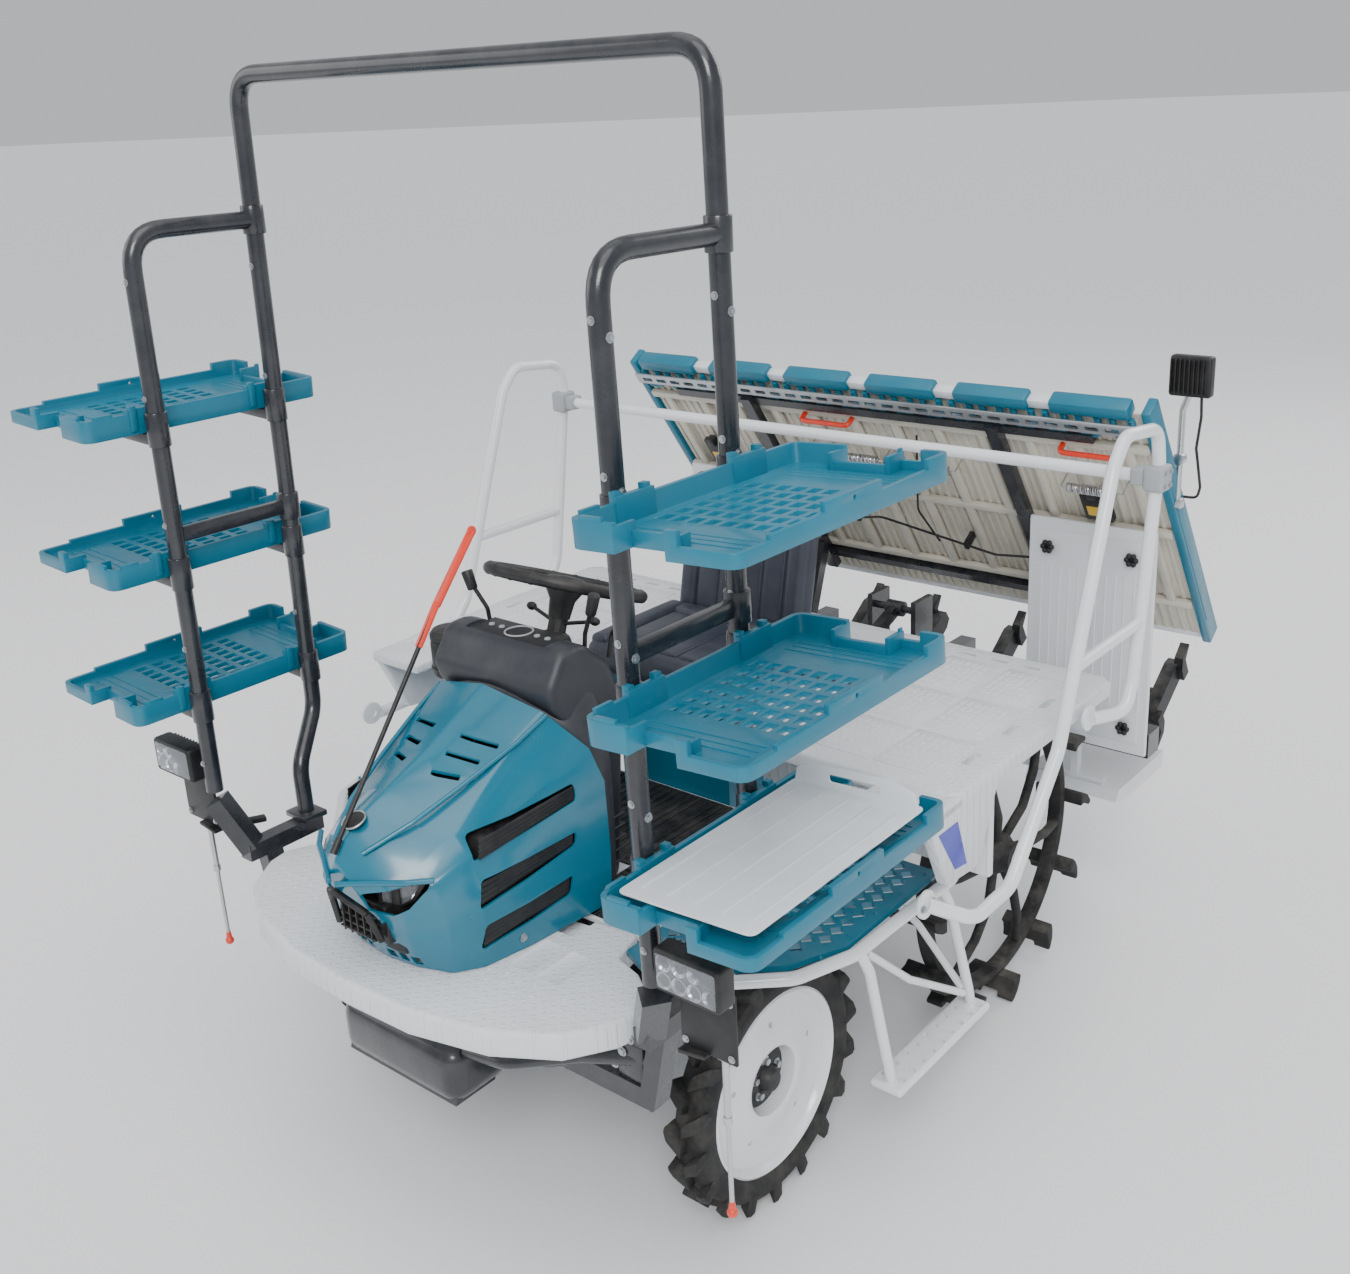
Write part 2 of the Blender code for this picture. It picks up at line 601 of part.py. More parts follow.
def side_steps():
    inner = FLOOR_HALF_W + 0.003
    outline = [(inner, -0.262), (0.530, -0.300), (0.770, -0.100),
               (STEP_OUT_X - 0.018, 0.040), (STEP_OUT_X - 0.018, 0.440), (inner, 0.440)]
    plate = prism(outline, "Z", FLOOR_TOP - 0.016, FLOOR_TOP)
    holes = []
    pitch = 0.150
    for row, starts in enumerate((-0.130, -0.055, 0.020)):
        x = FLOOR_HALF_W + 0.080 + row * 0.115
        for column in range(4 - (row == 2)):
            y = starts + column * pitch
            r = 0.046
            holes.append(prism([(x - r, y), (x, y - r), (x + r, y), (x, y + r)], "Z",
                               FLOOR_TOP - 0.030, FLOOR_TOP + 0.010))
    pair("side_step", "teal_plastic", [plate], cuts=holes)


def step_frames():
    z = FLOOR_TOP - 0.020
    edge = STEP_OUT_X
    rail = tube([(0.575, -0.300, z), (edge - 0.055, -0.110, z), (edge, 0.040, z),
                 (edge + 0.012, STEP_REAR_Y - 0.090, z), (edge - 0.060, STEP_REAR_Y, z), (0.600, STEP_REAR_Y, z)], STEP_TUBE_R, 0.07, 8, 2)
    front = beam((edge + 0.004, 0.060, z), (STIRRUP_X, STIRRUP_FRONT_Y, STIRRUP_Z), 0.038, 0.012)
    rear = beam((edge + 0.004, 0.420, z), (STIRRUP_X, STIRRUP_REAR_Y, STIRRUP_Z), 0.038, 0.012)
    brace = [
        rod((edge, 0.000, z), (STIRRUP_X - 0.004, STIRRUP_FRONT_Y + 0.010, STIRRUP_Z + 0.030), 0.010, 8),
        rod((edge, 0.300, z), (STIRRUP_X - 0.004, STIRRUP_REAR_Y - 0.020, STIRRUP_Z + 0.060), 0.010, 8),
    ]
    tread = box((STIRRUP_X - 0.045, STIRRUP_X + 0.045), (STIRRUP_FRONT_Y - 0.012, STIRRUP_REAR_Y + 0.012),
                (STIRRUP_Z - 0.022, STIRRUP_Z + 0.004))
    bearer_top = FLOOR_TOP - 0.016 - GAP
    cross = [box((FLOOR_HALF_W + 0.002, edge), (y - 0.012, y + 0.012), (bearer_top - 0.016, bearer_top))
             for y in (0.120, 0.360)]
    pair("step_frame", "white_paint", [rail, front, rear, tread] + brace + cross)


def rear_deck():
    slab = box((-DECK_HALF_W, DECK_HALF_W), (DECK_FRONT_Y, DECK_REAR_Y), (DECK_TOP - DECK_T, DECK_TOP))
    slab = bevelled(slab, 0.016, 2, lambda e: all(v.co.z > DECK_TOP - 0.001 for v in e.verts))
    wing = both([prism([(DECK_FRONT_Y - 0.130, DECK_TOP - 0.010), (DECK_FRONT_Y - 0.040, 0.840), (0.410, 0.820),
                        (0.510, DECK_TOP - 0.020)], "X", DECK_HALF_W - 0.035, DECK_HALF_W - 0.003)])
    riser = both([box((SEAT_WELL_HALF_W + 0.002, DECK_HALF_W - 0.010), (0.474, 0.496),
                      (FLOOR_TOP + 0.004, DECK_TOP - 0.010))])
    tops = both([box((0.760, DECK_HALF_W - 0.003), (DECK_FRONT_Y - 0.128, DECK_FRONT_Y + 0.020),
                     (DECK_TOP - 0.035, DECK_TOP - 0.008))])
    well = box((-SEAT_WELL_HALF_W, SEAT_WELL_HALF_W), (0.100, SEAT_WELL_REAR_Y), (0.700, 1.200))
    piece("rear_deck", "white_paint", [slab] + wing + riser + tops, cuts=[well])


def seat():
    base = [
        box((-0.215, 0.215), (SEAT_FRONT_Y + 0.060, SEAT_REAR_Y), (0.980, SEAT_BASE_TOP)),
        box((-0.180, 0.180), (FLOOR_REAR_Y + 0.002, SEAT_REAR_Y - 0.030), (RAIL_TOP + GAP, 1.000)),
    ]
    piece("seat_base", "teal_plastic", base)
    top = SEAT_BASE_TOP + GAP
    cushion = box((-SEAT_HALF_W, SEAT_HALF_W), (SEAT_FRONT_Y, SEAT_REAR_Y - 0.045), (top, top + SEAT_CUSHION_T))
    piece("seat_cushion", "seat_vinyl", [bevelled(cushion, 0.030, 2)])
    z = top + SEAT_CUSHION_T
    lean = 0.095
    back = prism([(SEAT_REAR_Y - 0.045 + GAP, top), (SEAT_REAR_Y + 0.030, top),
                  (SEAT_REAR_Y + lean, SEAT_BACK_TOP - 0.020), (SEAT_REAR_Y + lean - 0.020, SEAT_BACK_TOP),
                  (SEAT_REAR_Y + lean - SEAT_BACK_T + 0.012, SEAT_BACK_TOP - 0.010),
                  (SEAT_REAR_Y - 0.045 + GAP, z)], "X", -SEAT_HALF_W + 0.012, SEAT_HALF_W - 0.012)
    piece("seat_back", "seat_vinyl", [bevelled(back, 0.018, 2)])


def hood_sections():
    """Half rows of the hood's skin, from its rear edge to its nose, each from the base up to the spine."""
    base = HOOD_BASE_Z
    return [
        [(.270, -.130, base), (.276, -.130, .90), (.272, -.130, 1.08), (.250, -.150, 1.165), (.175, -.215, 1.262),
         (0, -.235, 1.300)],
        [(.266, -.200, base), (.271, -.200, .90), (.264, -.200, 1.06), (.238, -.230, 1.140), (.165, -.290, 1.222),
         (0, -.310, 1.262)],
        [(.248, -.380, base), (.256, -.380, .88), (.248, -.380, 1.00), (.222, -.380, 1.085), (.168, -.390, 1.160),
         (0, -.420, 1.205)],
        [(.226, -.500, base), (.236, -.500, .86), (.232, -.500, .96), (.212, -.500, 1.030), (.172, -.505, 1.080),
         (0, -.530, 1.160)],
        [(.185, -.560, base), (.205, -.573, .85), (.205, -.582, .94), (.190, -.590, .99), (.150, -.597, 1.030),
         (0, -.612, 1.128)],
        [(.100, -.590, base), (.130, -.625, .85), (.140, -.640, .93), (.130, -.650, .97), (.100, -.660, 1.01),
         (0, -.665, 1.092)],
        [(.020, -.600, base), (.040, -.645, .86), (.050, -.668, .93), (.050, -.682, .965), (.045, -.692, .99),
         (0, -.700, 1.048)],
    ]


def hood():
    bm = bmesh.new()
    rows = []
    for half in hood_sections():
        points = [(-x, y, z) for x, y, z in half[:-1]] + [half[-1]] + list(reversed(half[:-1]))
        rows.append([bm.verts.new(point) for point in points])
    for near, far in zip(rows, rows[1:]):
        for i in range(len(near) - 1):
            bm.faces.new((near[i], near[i + 1], far[i + 1], far[i]))
    bm.faces.new(list(rows[-1]))
    bmesh.ops.recalc_face_normals(bm, faces=bm.faces)
    mesh = bpy.data.meshes.new("hood_shell")
    bm.to_mesh(mesh)
    shell = bpy.data.objects.new("hood_shell", mesh)
    SCENE.objects.link(shell)
    wall = shell.modifiers.new("wall", "SOLIDIFY")
    wall.thickness = HOOD_WALL
    wall.offset = -1.0
    bpy.context.view_layer.update()
    solid = bpy.data.meshes.new_from_object(shell.evaluated_get(bpy.context.evaluated_depsgraph_get()))
    bpy.data.objects.remove(shell, do_unlink=True)
    made = bmesh.new()
    made.from_mesh(solid)
    piece("hood", "teal_plastic", [grown(made)], cuts=[grille_block(GAP)], origin=HOOD_HINGE)


def grille_panel():
    piece("grille_panel", "black_plastic", [grille_block()], origin=HOOD_HINGE, parent="hood")


def dash():
    side = [(-0.122, 0.7525), (-0.020, 0.7525), (0.010, 1.000), (0.030, 1.230), (-0.010, 1.330), (-0.090, 1.395),
            (-0.165, 1.395), (-0.226, 1.310), (-0.207, 1.268), (-0.142, 1.170), (-0.122, 1.080)]
    top = bevelled(prism(side, "X", -0.205, 0.205), 0.012)
    axis = steering_axis()
    centre = Vector(STEERING_CENTRE)
    hole = bore(centre + axis * 0.05, centre + axis * (0.480 + GAP), STEERING_POST_R)
    piece("dash_cowl", "dash_plastic", [top], cuts=[hole])


# ---------------------------------------------------------------- rails and racks
def handrails():
    x = HANDRAIL_X
    loop = [(x - 0.075, 0.150, 0.850), (x, 0.230, 0.800), (x, 0.400, 0.800), (x, 0.630, 1.060), (x, 0.870, 1.700),
            (x, 0.930, HANDRAIL_TOP), (x, 1.130, HANDRAIL_TOP - 0.020), (x, 1.150, 1.660), (x, 1.055, 1.090),
            (x, 1.020, 1.020), (x - 0.050, 0.930, 1.020)]
    brace = rod((x, 0.705, 1.250), (x, 1.080, 1.250), RAIL_TUBE_R * 0.85, 8)
    feet = [
        box((DECK_HALF_W + GAP, x), (0.290, 0.310), (0.860, 0.885)),
        box((x - 0.012, x + 0.012), (0.290, 0.310), (0.800, 0.885)),
        box((DECK_HALF_W + GAP, x), (0.950, 0.985), (1.010, 1.030)),
    ]
    pair("handrail", "white_paint", [tube(loop, RAIL_TUBE_R, 0.075, 8, 2), brace] + feet)
    high, low = Vector((x, 1.150, 1.660)), Vector((x, 1.055, 1.090))
    leg = (high - low).normalized()
    joint = low + leg * ((CROSSBAR_Z - low.z) / leg.z)
    bar = rod((-x + 0.020, joint.y, CROSSBAR_Z), (x - 0.020, joint.y, CROSSBAR_Z), RAIL_TUBE_R, 10)
    sleeve = collar(joint - leg * 0.030, joint + leg * 0.030, RAIL_TUBE_R)
    hole = bore(joint - leg * 0.10, joint + leg * 0.038, RAIL_TUBE_R, 12)
    piece("handrail_crossbar", "white_paint", [bar] + both([sleeve]), cuts=both([hole]))


def racks():
    foot_y = RACK_REAR_Y - 0.110
    bottom = [(RACK_CARRIER_X, foot_y, RACK_CARRIER_Z + 0.022 + GAP), (RACK_CARRIER_X, foot_y, 0.930),
              (post_x(1.05), post_y(1.05), 1.050)]
    top = [(post_x(RACK_TOP), post_y(RACK_TOP), RACK_TOP)]
    left = bottom + top
    right = [(-x, y, z) for x, y, z in reversed(left)]
    hoop = [tube(left + right, RACK_TUBE_R, RACK_BEND_R, 10, 3)]
    for height in TRAY_HEIGHTS.values():
        hoop += both(tray_bearer(post_y(height), height, post_x(height)))
    piece("rack_hoop", "rack_paint", hoop)
    x_top = post_x(RACK_SIDE_TOP)
    side = tube([(post_x(0.93), RACK_FRONT_Y, 0.932), (x_top, RACK_FRONT_Y, RACK_SIDE_TOP),
                 (x_top, post_y(RACK_SIDE_TOP) - 0.004, RACK_SIDE_TOP)], RACK_TUBE_R, RACK_BEND_R, 10, 3)
    middle = TRAY_HEIGHTS["mid"] + 0.106
    brace = beam((post_x(middle), RACK_FRONT_Y, middle), (post_x(middle), post_y(middle), middle), 0.022, 0.036)
    shapes = [side, brace]
    for height in TRAY_HEIGHTS.values():
        shapes += tray_bearer(RACK_FRONT_Y, height, post_x(height))
    cuts = []
    for z in (RACK_SIDE_TOP, middle):
        low = Vector((post_x(z - 0.030), post_y(z - 0.030), z - 0.030))
        high = Vector((post_x(z + 0.030), post_y(z + 0.030), z + 0.030))
        shapes.append(collar(low, high, RACK_TUBE_R, 0.007))
        cuts.append(bore(low + (low - high), high + (high - low), RACK_TUBE_R))
    pair("rack_side", "rack_paint", shapes, cuts=cuts)


def tray(name, x_sign, height):
    """An open tray: a floor with a slotted middle, low walls and cut-away ends."""
    floor = box((0, TRAY_W), (0, TRAY_L), (0, TRAY_FLOOR))
    walls = [
        box((0, TRAY_WALL), (0, TRAY_L), (0, TRAY_WALL_H)),
        box((TRAY_W - TRAY_WALL, TRAY_W), (0, TRAY_L), (0, TRAY_WALL_H)),
    ]
    for y in (0, TRAY_L - TRAY_WALL):
        walls.append(box((0, 0.100), (y, y + TRAY_WALL), (0, TRAY_WALL_H)))
        walls.append(box((TRAY_W - 0.100, TRAY_W), (y, y + TRAY_WALL), (0, TRAY_WALL_H)))
    slots = []
    for row in range(3):
        x = 0.060 + row * 0.084
        slots.append(box((x, x + 0.066), (0.170, 0.470), (-0.010, TRAY_FLOOR + 0.010)))
    tilt = Matrix.Rotation(-radians(TRAY_TILT), 4, "Y")
    place = Matrix.Translation((TRAY_IN_X, TRAY_FRONT_Y, height)) @ tilt
    shapes, cuts = [floor] + walls, slots
    for shape in shapes + cuts:
        bmesh.ops.transform(shape, matrix=place, verts=shape.verts)
    if x_sign < 0:
        shapes, cuts = [mirrored(s) for s in shapes], [mirrored(c) for c in cuts]
    piece(name, "teal_plastic", shapes, cuts=cuts)


def trays():
    for side, sign in (("left", 1), ("right", -1)):
        for level, height in TRAY_HEIGHTS.items():
            tray(f"tray_{level}_{side}", sign, height)


def scoop_plate():
    """The flat seedling scoop that lies on the low left tray, with a turned-up handle end."""
    tilt = Matrix.Rotation(-radians(TRAY_TILT), 4, "Y")
    place = Matrix.Translation((TRAY_IN_X, TRAY_FRONT_Y, TRAY_HEIGHTS["low"])) @ tilt
    z = TRAY_WALL_H + GAP
    plate = box((0.030, TRAY_W - 0.006), (0.020, 0.600), (z, z + 0.006))
    flange = box((0.050, TRAY_W - 0.030), (0.594, 0.600), (z, z + 0.040))
    slot = box((0.130, 0.250), (0.590, 0.610), (z + 0.014, z + 0.030))
    for shape in (plate, flange, slot):
        bmesh.ops.transform(shape, matrix=place, verts=shape.verts)
    piece("scoop_plate", "white_paint", [plate, flange], cuts=[slot])


def lamps_and_markers():
    x, y, z = LAMP_CENTRE
    w, d, h = (s / 2 for s in LAMP_SIZE)
    housing = bevelled(box((x - w, x + w), (y - d, y + d), (z - h, z + h)), 0.010)
    bracket = [
        box((post_x(z) + RACK_TUBE_R + GAP, x - w + 0.012), (RACK_FRONT_Y - 0.012, RACK_FRONT_Y + 0.022),
            (z - 0.025, z + 0.025)),
        box((x + w - 0.010, x + w + 0.004), (y - 0.020, y + 0.170), (z - 0.050, z - 0.005)),
    ]
    px, py, pz = MARKER_PIVOT
    arm = rod((x + w - 0.004, y + 0.150, z - 0.030), (px, py + 0.026, pz + 0.006), 0.006, 8)
    block = box((px - 0.012, px + 0.012), (py + 0.0104, py + 0.034), (pz - 0.012, pz + 0.012))
    pair("work_lamp", "black_plastic", [housing, arm, block] + bracket)
    stem = rod((px, py, pz + 0.050), (px, py, MARKER_BALL_Z), 0.0045, 8)
    knob = ball((px, py, MARKER_BALL_Z), 0.011, 8, 6)
    boss = rod((px, py + 0.010, pz), (px, py - 0.010, pz), 0.013, 10)
    pair("side_marker", "steel", [stem, knob, boss], origin=MARKER_PIVOT)


def centre_marker():
    """A folding sight rod on the hood's nose, laid back towards the driver."""
    foot = Vector(CENTRE_MARKER_FOOT)
    knee = Vector((-0.020, -0.345, 1.500))
    tip = Vector((-0.025, -0.200, 1.660))
    eye = rod(foot + Vector((-0.014, 0, 0)), foot + Vector((0.014, 0, 0)), 0.009, 10)
    shapes = [eye, rod(foot, knee, 0.0045, 8), rod(knee - (tip - knee) * 0.04, tip, 0.009, 8)]
    piece("centre_marker", "orange_plastic", shapes, origin=tuple(foot), parent="hood")


# ---------------------------------------------------------------- lift and planting unit
def lift_links():
    front, rear = LINK_FRONT_Y, LINK_FRONT_Y + LINK_RUN
    low, high = LINK_LOW_Z, LINK_LOW_Z + LINK_RISE
    arms = both([beam((0.055, front, low), (0.055, rear, high), 0.018, 0.040)])
    eyes = both([rod((0.044, y, z), (0.066, y, z), 0.028) for y, z in ((front, low), (rear, high))])
    eye = Vector(CYLINDER_EYE)
    tie = rod(eye - Vector((0.055, 0, 0)), eye + Vector((0.055, 0, 0)), TIE_R)
    piece("lift_lower_link", "rack_paint", arms + eyes + [tie],
          cuts=[bore((-0.2, y, z), (0.2, y, z), PIN_R) for y, z in ((front, low), (rear, high))],
          origin=(0, front, low))
    low, high = LINK_TOP_Z, LINK_TOP_Z + LINK_RISE
    top = [beam((0, front, low), (0, rear, high), 0.030, 0.036)]
    top += [rod((-0.030, y, z), (0.030, y, z), 0.026) for y, z in ((front, low), (rear, high))]
    holes = [bore((-0.2, front, low), (0.2, front, low), PIN_R),
             bore((-0.2, rear, high), (0.2, rear, high), PIN_R, gap=0.0008)]
    piece("lift_top_link", "rack_paint", top, cuts=holes, origin=(0, front, low))



def planting_frame():
    rear_y = LINK_FRONT_Y + LINK_RUN
    half = BEAM_SIDE / 2
    main = box((-BEAM_HALF_L, BEAM_HALF_L), (BEAM_Y - half, BEAM_Y + half), (BEAM_Z - half, BEAM_Z + half))
    mast = both([prism([(rear_y - 0.030, 0.625), (BEAM_Y, 0.605), (BEAM_Y, 0.980),
                        (rear_y - 0.030, 0.980)], "X", 0.075, 0.093)])
    pins = [rod((-0.080, rear_y, z + LINK_RISE), (0.080, rear_y, z + LINK_RISE), PIN_R)
            for z in (LINK_LOW_Z, LINK_TOP_Z)]
    axle_y = BEAM_Y + CASE_REACH
    places = (-2 * LANE_PITCH, 0.0, 2 * LANE_PITCH)
    cases = [box((x - 0.030, x + 0.030), (BEAM_Y, axle_y + 0.035), (BEAM_Z - 0.035, BEAM_Z + 0.039)) for x in places]
    bores = [bore((x - 0.040, axle_y, BEAM_Z), (x + 0.040, axle_y, BEAM_Z), PIN_R) for x in places]
    _, length = slope_frame()
    under = -0.020 - GAP
    stays = []
    for x in (-0.450, 0.450):
        stays.append(box((x - 0.020, x + 0.020), (0.075, length - 0.070), (under - 0.030, under)))
    for y in (0.080, length - 0.150):
        stays.append(box((-STAY_HALF_L, STAY_HALF_L), (y, y + 0.030), (under - 0.012, -GAP)))
    on_slope(stays)
    matrix, _ = slope_frame()
    for x in (-0.450, 0.450):
        knee = matrix @ Vector((x, length - 0.200, under - 0.020))
        stays.append(beam((x, BEAM_Y, BEAM_Z), knee, 0.040, 0.040))
    piece("planting_frame", "rack_paint", [main] + mast + pins + cases + stays, cuts=bores,
          origin=(0, rear_y, LINK_LOW_Z + LINK_RISE))


def rotors():
    axle_y = BEAM_Y + CASE_REACH
    for name, x in (("left", 2 * LANE_PITCH), ("middle", 0.0), ("right", -2 * LANE_PITCH)):
        shapes = [rod((x - 0.170, axle_y, BEAM_Z), (x + 0.170, axle_y, BEAM_Z), PIN_R)]
        for side in (-1, 1):
            rx = x + side * LANE_PITCH / 2
            arm = prism([(-0.130, -0.020), (-0.100, -0.036), (0.100, -0.036), (0.130, -0.020), (0.130, 0.020),
                         (0.100, 0.036), (-0.100, 0.036), (-0.130, 0.020)], "X", rx - 0.022, rx + 0.022)
            tilt = Matrix.Translation((0, axle_y, BEAM_Z)) @ Matrix.Rotation(radians(35), 4, "X")
            bmesh.ops.transform(arm, matrix=tilt, verts=arm.verts)
            shapes.append(arm)
            for turn in (0, pi):
                spin = Matrix.Translation((0, axle_y, BEAM_Z)) @ Matrix.Rotation(radians(35) + turn, 4, "X")
                claw = prism([(0.085, -0.030), (0.125, -0.034), (0.130, 0.030), (0.176, 0.052), (0.174, 0.060),
                              (0.115, 0.052), (0.090, 0.020)], "X", rx + side * 0.010, rx + side * 0.040)
                bmesh.ops.transform(claw, matrix=spin, verts=claw.verts)
                shapes.append(grown(claw))
        piece(f"planting_rotor_{name}", "cast_metal", shapes, origin=(x, axle_y, BEAM_Z), parent="planting_frame")


def seedling_platform():
    _, length = slope_frame()
    half = LANES * LANE_PITCH / 2
    shapes = [box((-half, half), (0, length), (0, PLATFORM_T))]
    for i in range(LANES + 1):
        x = -half + i * LANE_PITCH
        shapes.append(box((x - 0.006, x + 0.006), (0.020, length), (0.002, PLATFORM_RIB_H)))
    for sign in (-1, 1):
        x = sign * PLATFORM_SIDE_X
        shapes.append(box((x - PLATFORM_SIDE_T / 2, x + PLATFORM_SIDE_T / 2), (-0.015, length + 0.010),
                          (-PLATFORM_SIDE_DROP, PLATFORM_RIB_H + 0.010)))
        shapes.append(box(sorted((sign * (half - 0.02), x)), (0.030, length - 0.030), (0.001, PLATFORM_T - 0.001)))
    shapes.append(box((-half, half), (length - 0.015, length + 0.004), (-0.004, PLATFORM_RIB_H - 0.004)))
    piece("seedling_platform", "teal_plastic", on_slope(shapes),
          origin=(0, PLATFORM_TOP_Y, PLATFORM_TOP_Z), parent="planting_frame")


def cover_panels():
    front = BEAM_Y - BEAM_SIDE / 2
    panel = box((0.470, 0.880), (front - 0.024, front - GAP), (BEAM_Z - 0.030, 1.330))
    pocket = box((0.478, 0.872), (front - 0.016, front + 0.050), (BEAM_Z + 0.050, 1.322))
    pair("cover_panel", "white_paint", [panel], cuts=[pocket], parents=("planting_frame", "planting_frame"))


def rear_lamp():
    x = PLATFORM_SIDE_X + PLATFORM_SIDE_T / 2 + GAP
    y, z = 1.585, 1.445
    foot = box((x, x + 0.022), (y - 0.020, y + 0.020), (z - 0.030, z + 0.030))
    pole = rod((x + 0.011, y, z), (x + 0.030, 1.560, 1.760), 0.008, 8)
    head = bevelled(box((x - 0.030, x + 0.090), (1.540, 1.580), (1.745, 1.860)), 0.010)
    piece("rear_work_lamp", "black_plastic", [foot, pole, head], parent="seedling_platform")
    lead = [(x + 0.060, 1.560, 1.745 - GAP), (x + 0.062, 1.562, 1.690), (x + 0.052, 1.566, 1.600),
            (x + 0.060, 1.572, 1.540), (x + 0.056, 1.605, 1.480), (x + 0.040, 1.630, 1.440), (x, 1.630, 1.440)]
    piece("rear_lamp_lead", "rubber", [tube(lead, 0.004, 0.030, 6, 3)], parent="seedling_platform")



def bore(start, end, radius, sides=12, gap=GAP):
    """A cutter for a round bar to turn in: its flats, not its corners, clear the bar."""
    return rod(start, end, (radius + gap) / cos(pi / sides), sides)


def collar(start, end, radius, wall=0.009, sides=12):
    """A sleeve's outside between two points; its hole is cut afterwards."""
    return rod(start, end, radius + wall, sides)


def post_y(z):
    """Place of a rack's rear post along the machine at a height."""
    return RACK_REAR_Y + 0.006 * (z - RACK_REF_Z)


def steering_axis():
    """The direction from the steering wheel down its column."""
    lean = radians(STEERING_RAKE)
    return Vector((0, -sin(lean), -cos(lean)))


def grille_block(grow=0.0):
    """The V-shaped grille, or with a growth the hole for it in the hood's nose."""
    half = [(0.0, -.688), (.052, -.676), (.134, -.642), (.190, -.592)]
    back = [(.176, -.560), (.120, -.606), (.044, -.640), (0.0, -.650)]
    outer = [(x + grow * 2, y - grow * 2) if x else (x, y - grow * 2) for x, y in half]
    inner = [(x + grow, y + grow * 2) if x else (x, y + grow * 2) for x, y in back]
    ring = outer + inner
    ring += [(-x, y) for x, y in reversed(ring) if x]
    block = prism(ring, "Z", 0.840 - grow, 0.975 + grow)
    for vert in block.verts:
        vert.co.y -= (vert.co.z - 0.910) * 0.25
    return grown(block)


def tray_bearer(y, height, start_x):
    """A bar under a tray, from a post out along the tray's tilted floor."""
    tilt = radians(TRAY_TILT)
    deep = 0.026
    inner = TRAY_IN_X + 0.004
    z = height - (deep / 2 + GAP) / cos(tilt) + 0.004 * sin(tilt)
    outer = inner + 0.235
    arm = beam((inner - 0.002, y, z - 0.002 * sin(tilt)), (outer, y, z + (outer - inner) * sin(tilt)), 0.030, deep)
    root = box((start_x, inner + 0.020), (y - 0.013, y + 0.013), (z - 0.034, z + 0.004))
    return [arm, root]


def lift_cylinder():
    foot, eye = Vector(CYLINDER_FOOT), Vector(CYLINDER_EYE)
    run = eye - foot
    on = run.normalized()
    side = Vector((0.032, 0, 0))
    barrel = [rod(foot - side, foot + side, 0.026), rod(foot + on * 0.010, foot + on * 0.360, 0.030, 14)]
    cuts = [bore(foot - side * 3, foot + side * 3, PIN_R),
            bore(foot + on * 0.120, foot + on * 0.400, ROD_R)]
    piece("lift_cylinder", "cast_metal", barrel, cuts=cuts, origin=tuple(foot))
    side = Vector((0.016, 0, 0))
    shaft = [rod(foot + on * 0.160, eye - on * 0.026, ROD_R), rod(eye - side, eye + side, 0.033)]
    cuts = [bore(eye - side * 3, eye + side * 3, TIE_R, gap=0.0085)]
    piece("lift_rod", "steel", shaft, cuts=cuts, origin=tuple(eye), parent="lift_cylinder")


def slope_frame():
    """The seedling platform's own frame: X across, Y down its slope, Z out of its upper face."""
    slope = Vector((0, PLATFORM_BOTTOM_Y - PLATFORM_TOP_Y, PLATFORM_BOTTOM_Z - PLATFORM_TOP_Z))
    down = slope.normalized()
    out = Vector((0, -down.z, down.y))
    matrix = Matrix((
        (1, 0, 0, 0),
        (0, down.y, out.y, PLATFORM_TOP_Y),
        (0, down.z, out.z, PLATFORM_TOP_Z),
        (0, 0, 0, 1),
    ))
    return matrix, slope.length


def on_slope(shapes):
    """Shapes measured in the platform's frame, put in their place."""
    matrix, _ = slope_frame()
    for shape in shapes:
        bmesh.ops.transform(shape, matrix=matrix, verts=shape.verts)
        grown(shape)
    return shapes


def planting_floats():
    def pad(x, half, front, rear):
        outline = [(front, FLOAT_BOTTOM + 0.020), (front + 0.090, FLOAT_BOTTOM), (rear, FLOAT_BOTTOM),
                   (rear + 0.010, FLOAT_BOTTOM + FLOAT_T), (front + 0.020, FLOAT_BOTTOM + FLOAT_T)]
        return prism(outline, "X", x - half, x + half)
    shapes = [pad(0.0, 0.120, 1.600, 2.080), pad(0.6, 0.160, 1.680, 2.050), pad(-0.6, 0.160, 1.680, 2.050)]
    pipe_y = BEAM_Y + 0.060
    top = FLOAT_BOTTOM + FLOAT_T
    shapes.append(rod((-0.700, pipe_y, top + 0.008), (0.700, pipe_y, top + 0.008), 0.014, 8))
    for x in (-0.6, 0.0, 0.6):
        shapes.append(box((x - 0.012, x + 0.012), (pipe_y - 0.015, pipe_y + 0.015),
                          (top - 0.005, BEAM_Z - 0.035 - GAP)))
    piece("planting_floats", "white_paint", shapes, origin=(0, pipe_y, FLOAT_BOTTOM), parent="planting_frame")

chassis_frame()
axles()
engine()
knuckles_and_front_wheels()
rear_wheels()
steering()
front_apron()
foot_floor()
side_steps()
step_frames()
rear_deck()
seat()
hood()
grille_panel()
dash()
handrails()
racks()
trays()
scoop_plate()
lamps_and_markers()
centre_marker()
lift_links()
lift_cylinder()
planting_frame()
planting_floats()
rotors()
seedling_platform()
cover_panels()
rear_lamp()
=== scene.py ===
"""Looks of a six-row riding rice transplanter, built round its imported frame."""
from math import cos, pi, radians, sin, tan

import bmesh
import bpy
from bpy.props import FloatProperty, FloatVectorProperty, IntProperty, PointerProperty
from mathutils import Matrix, Vector


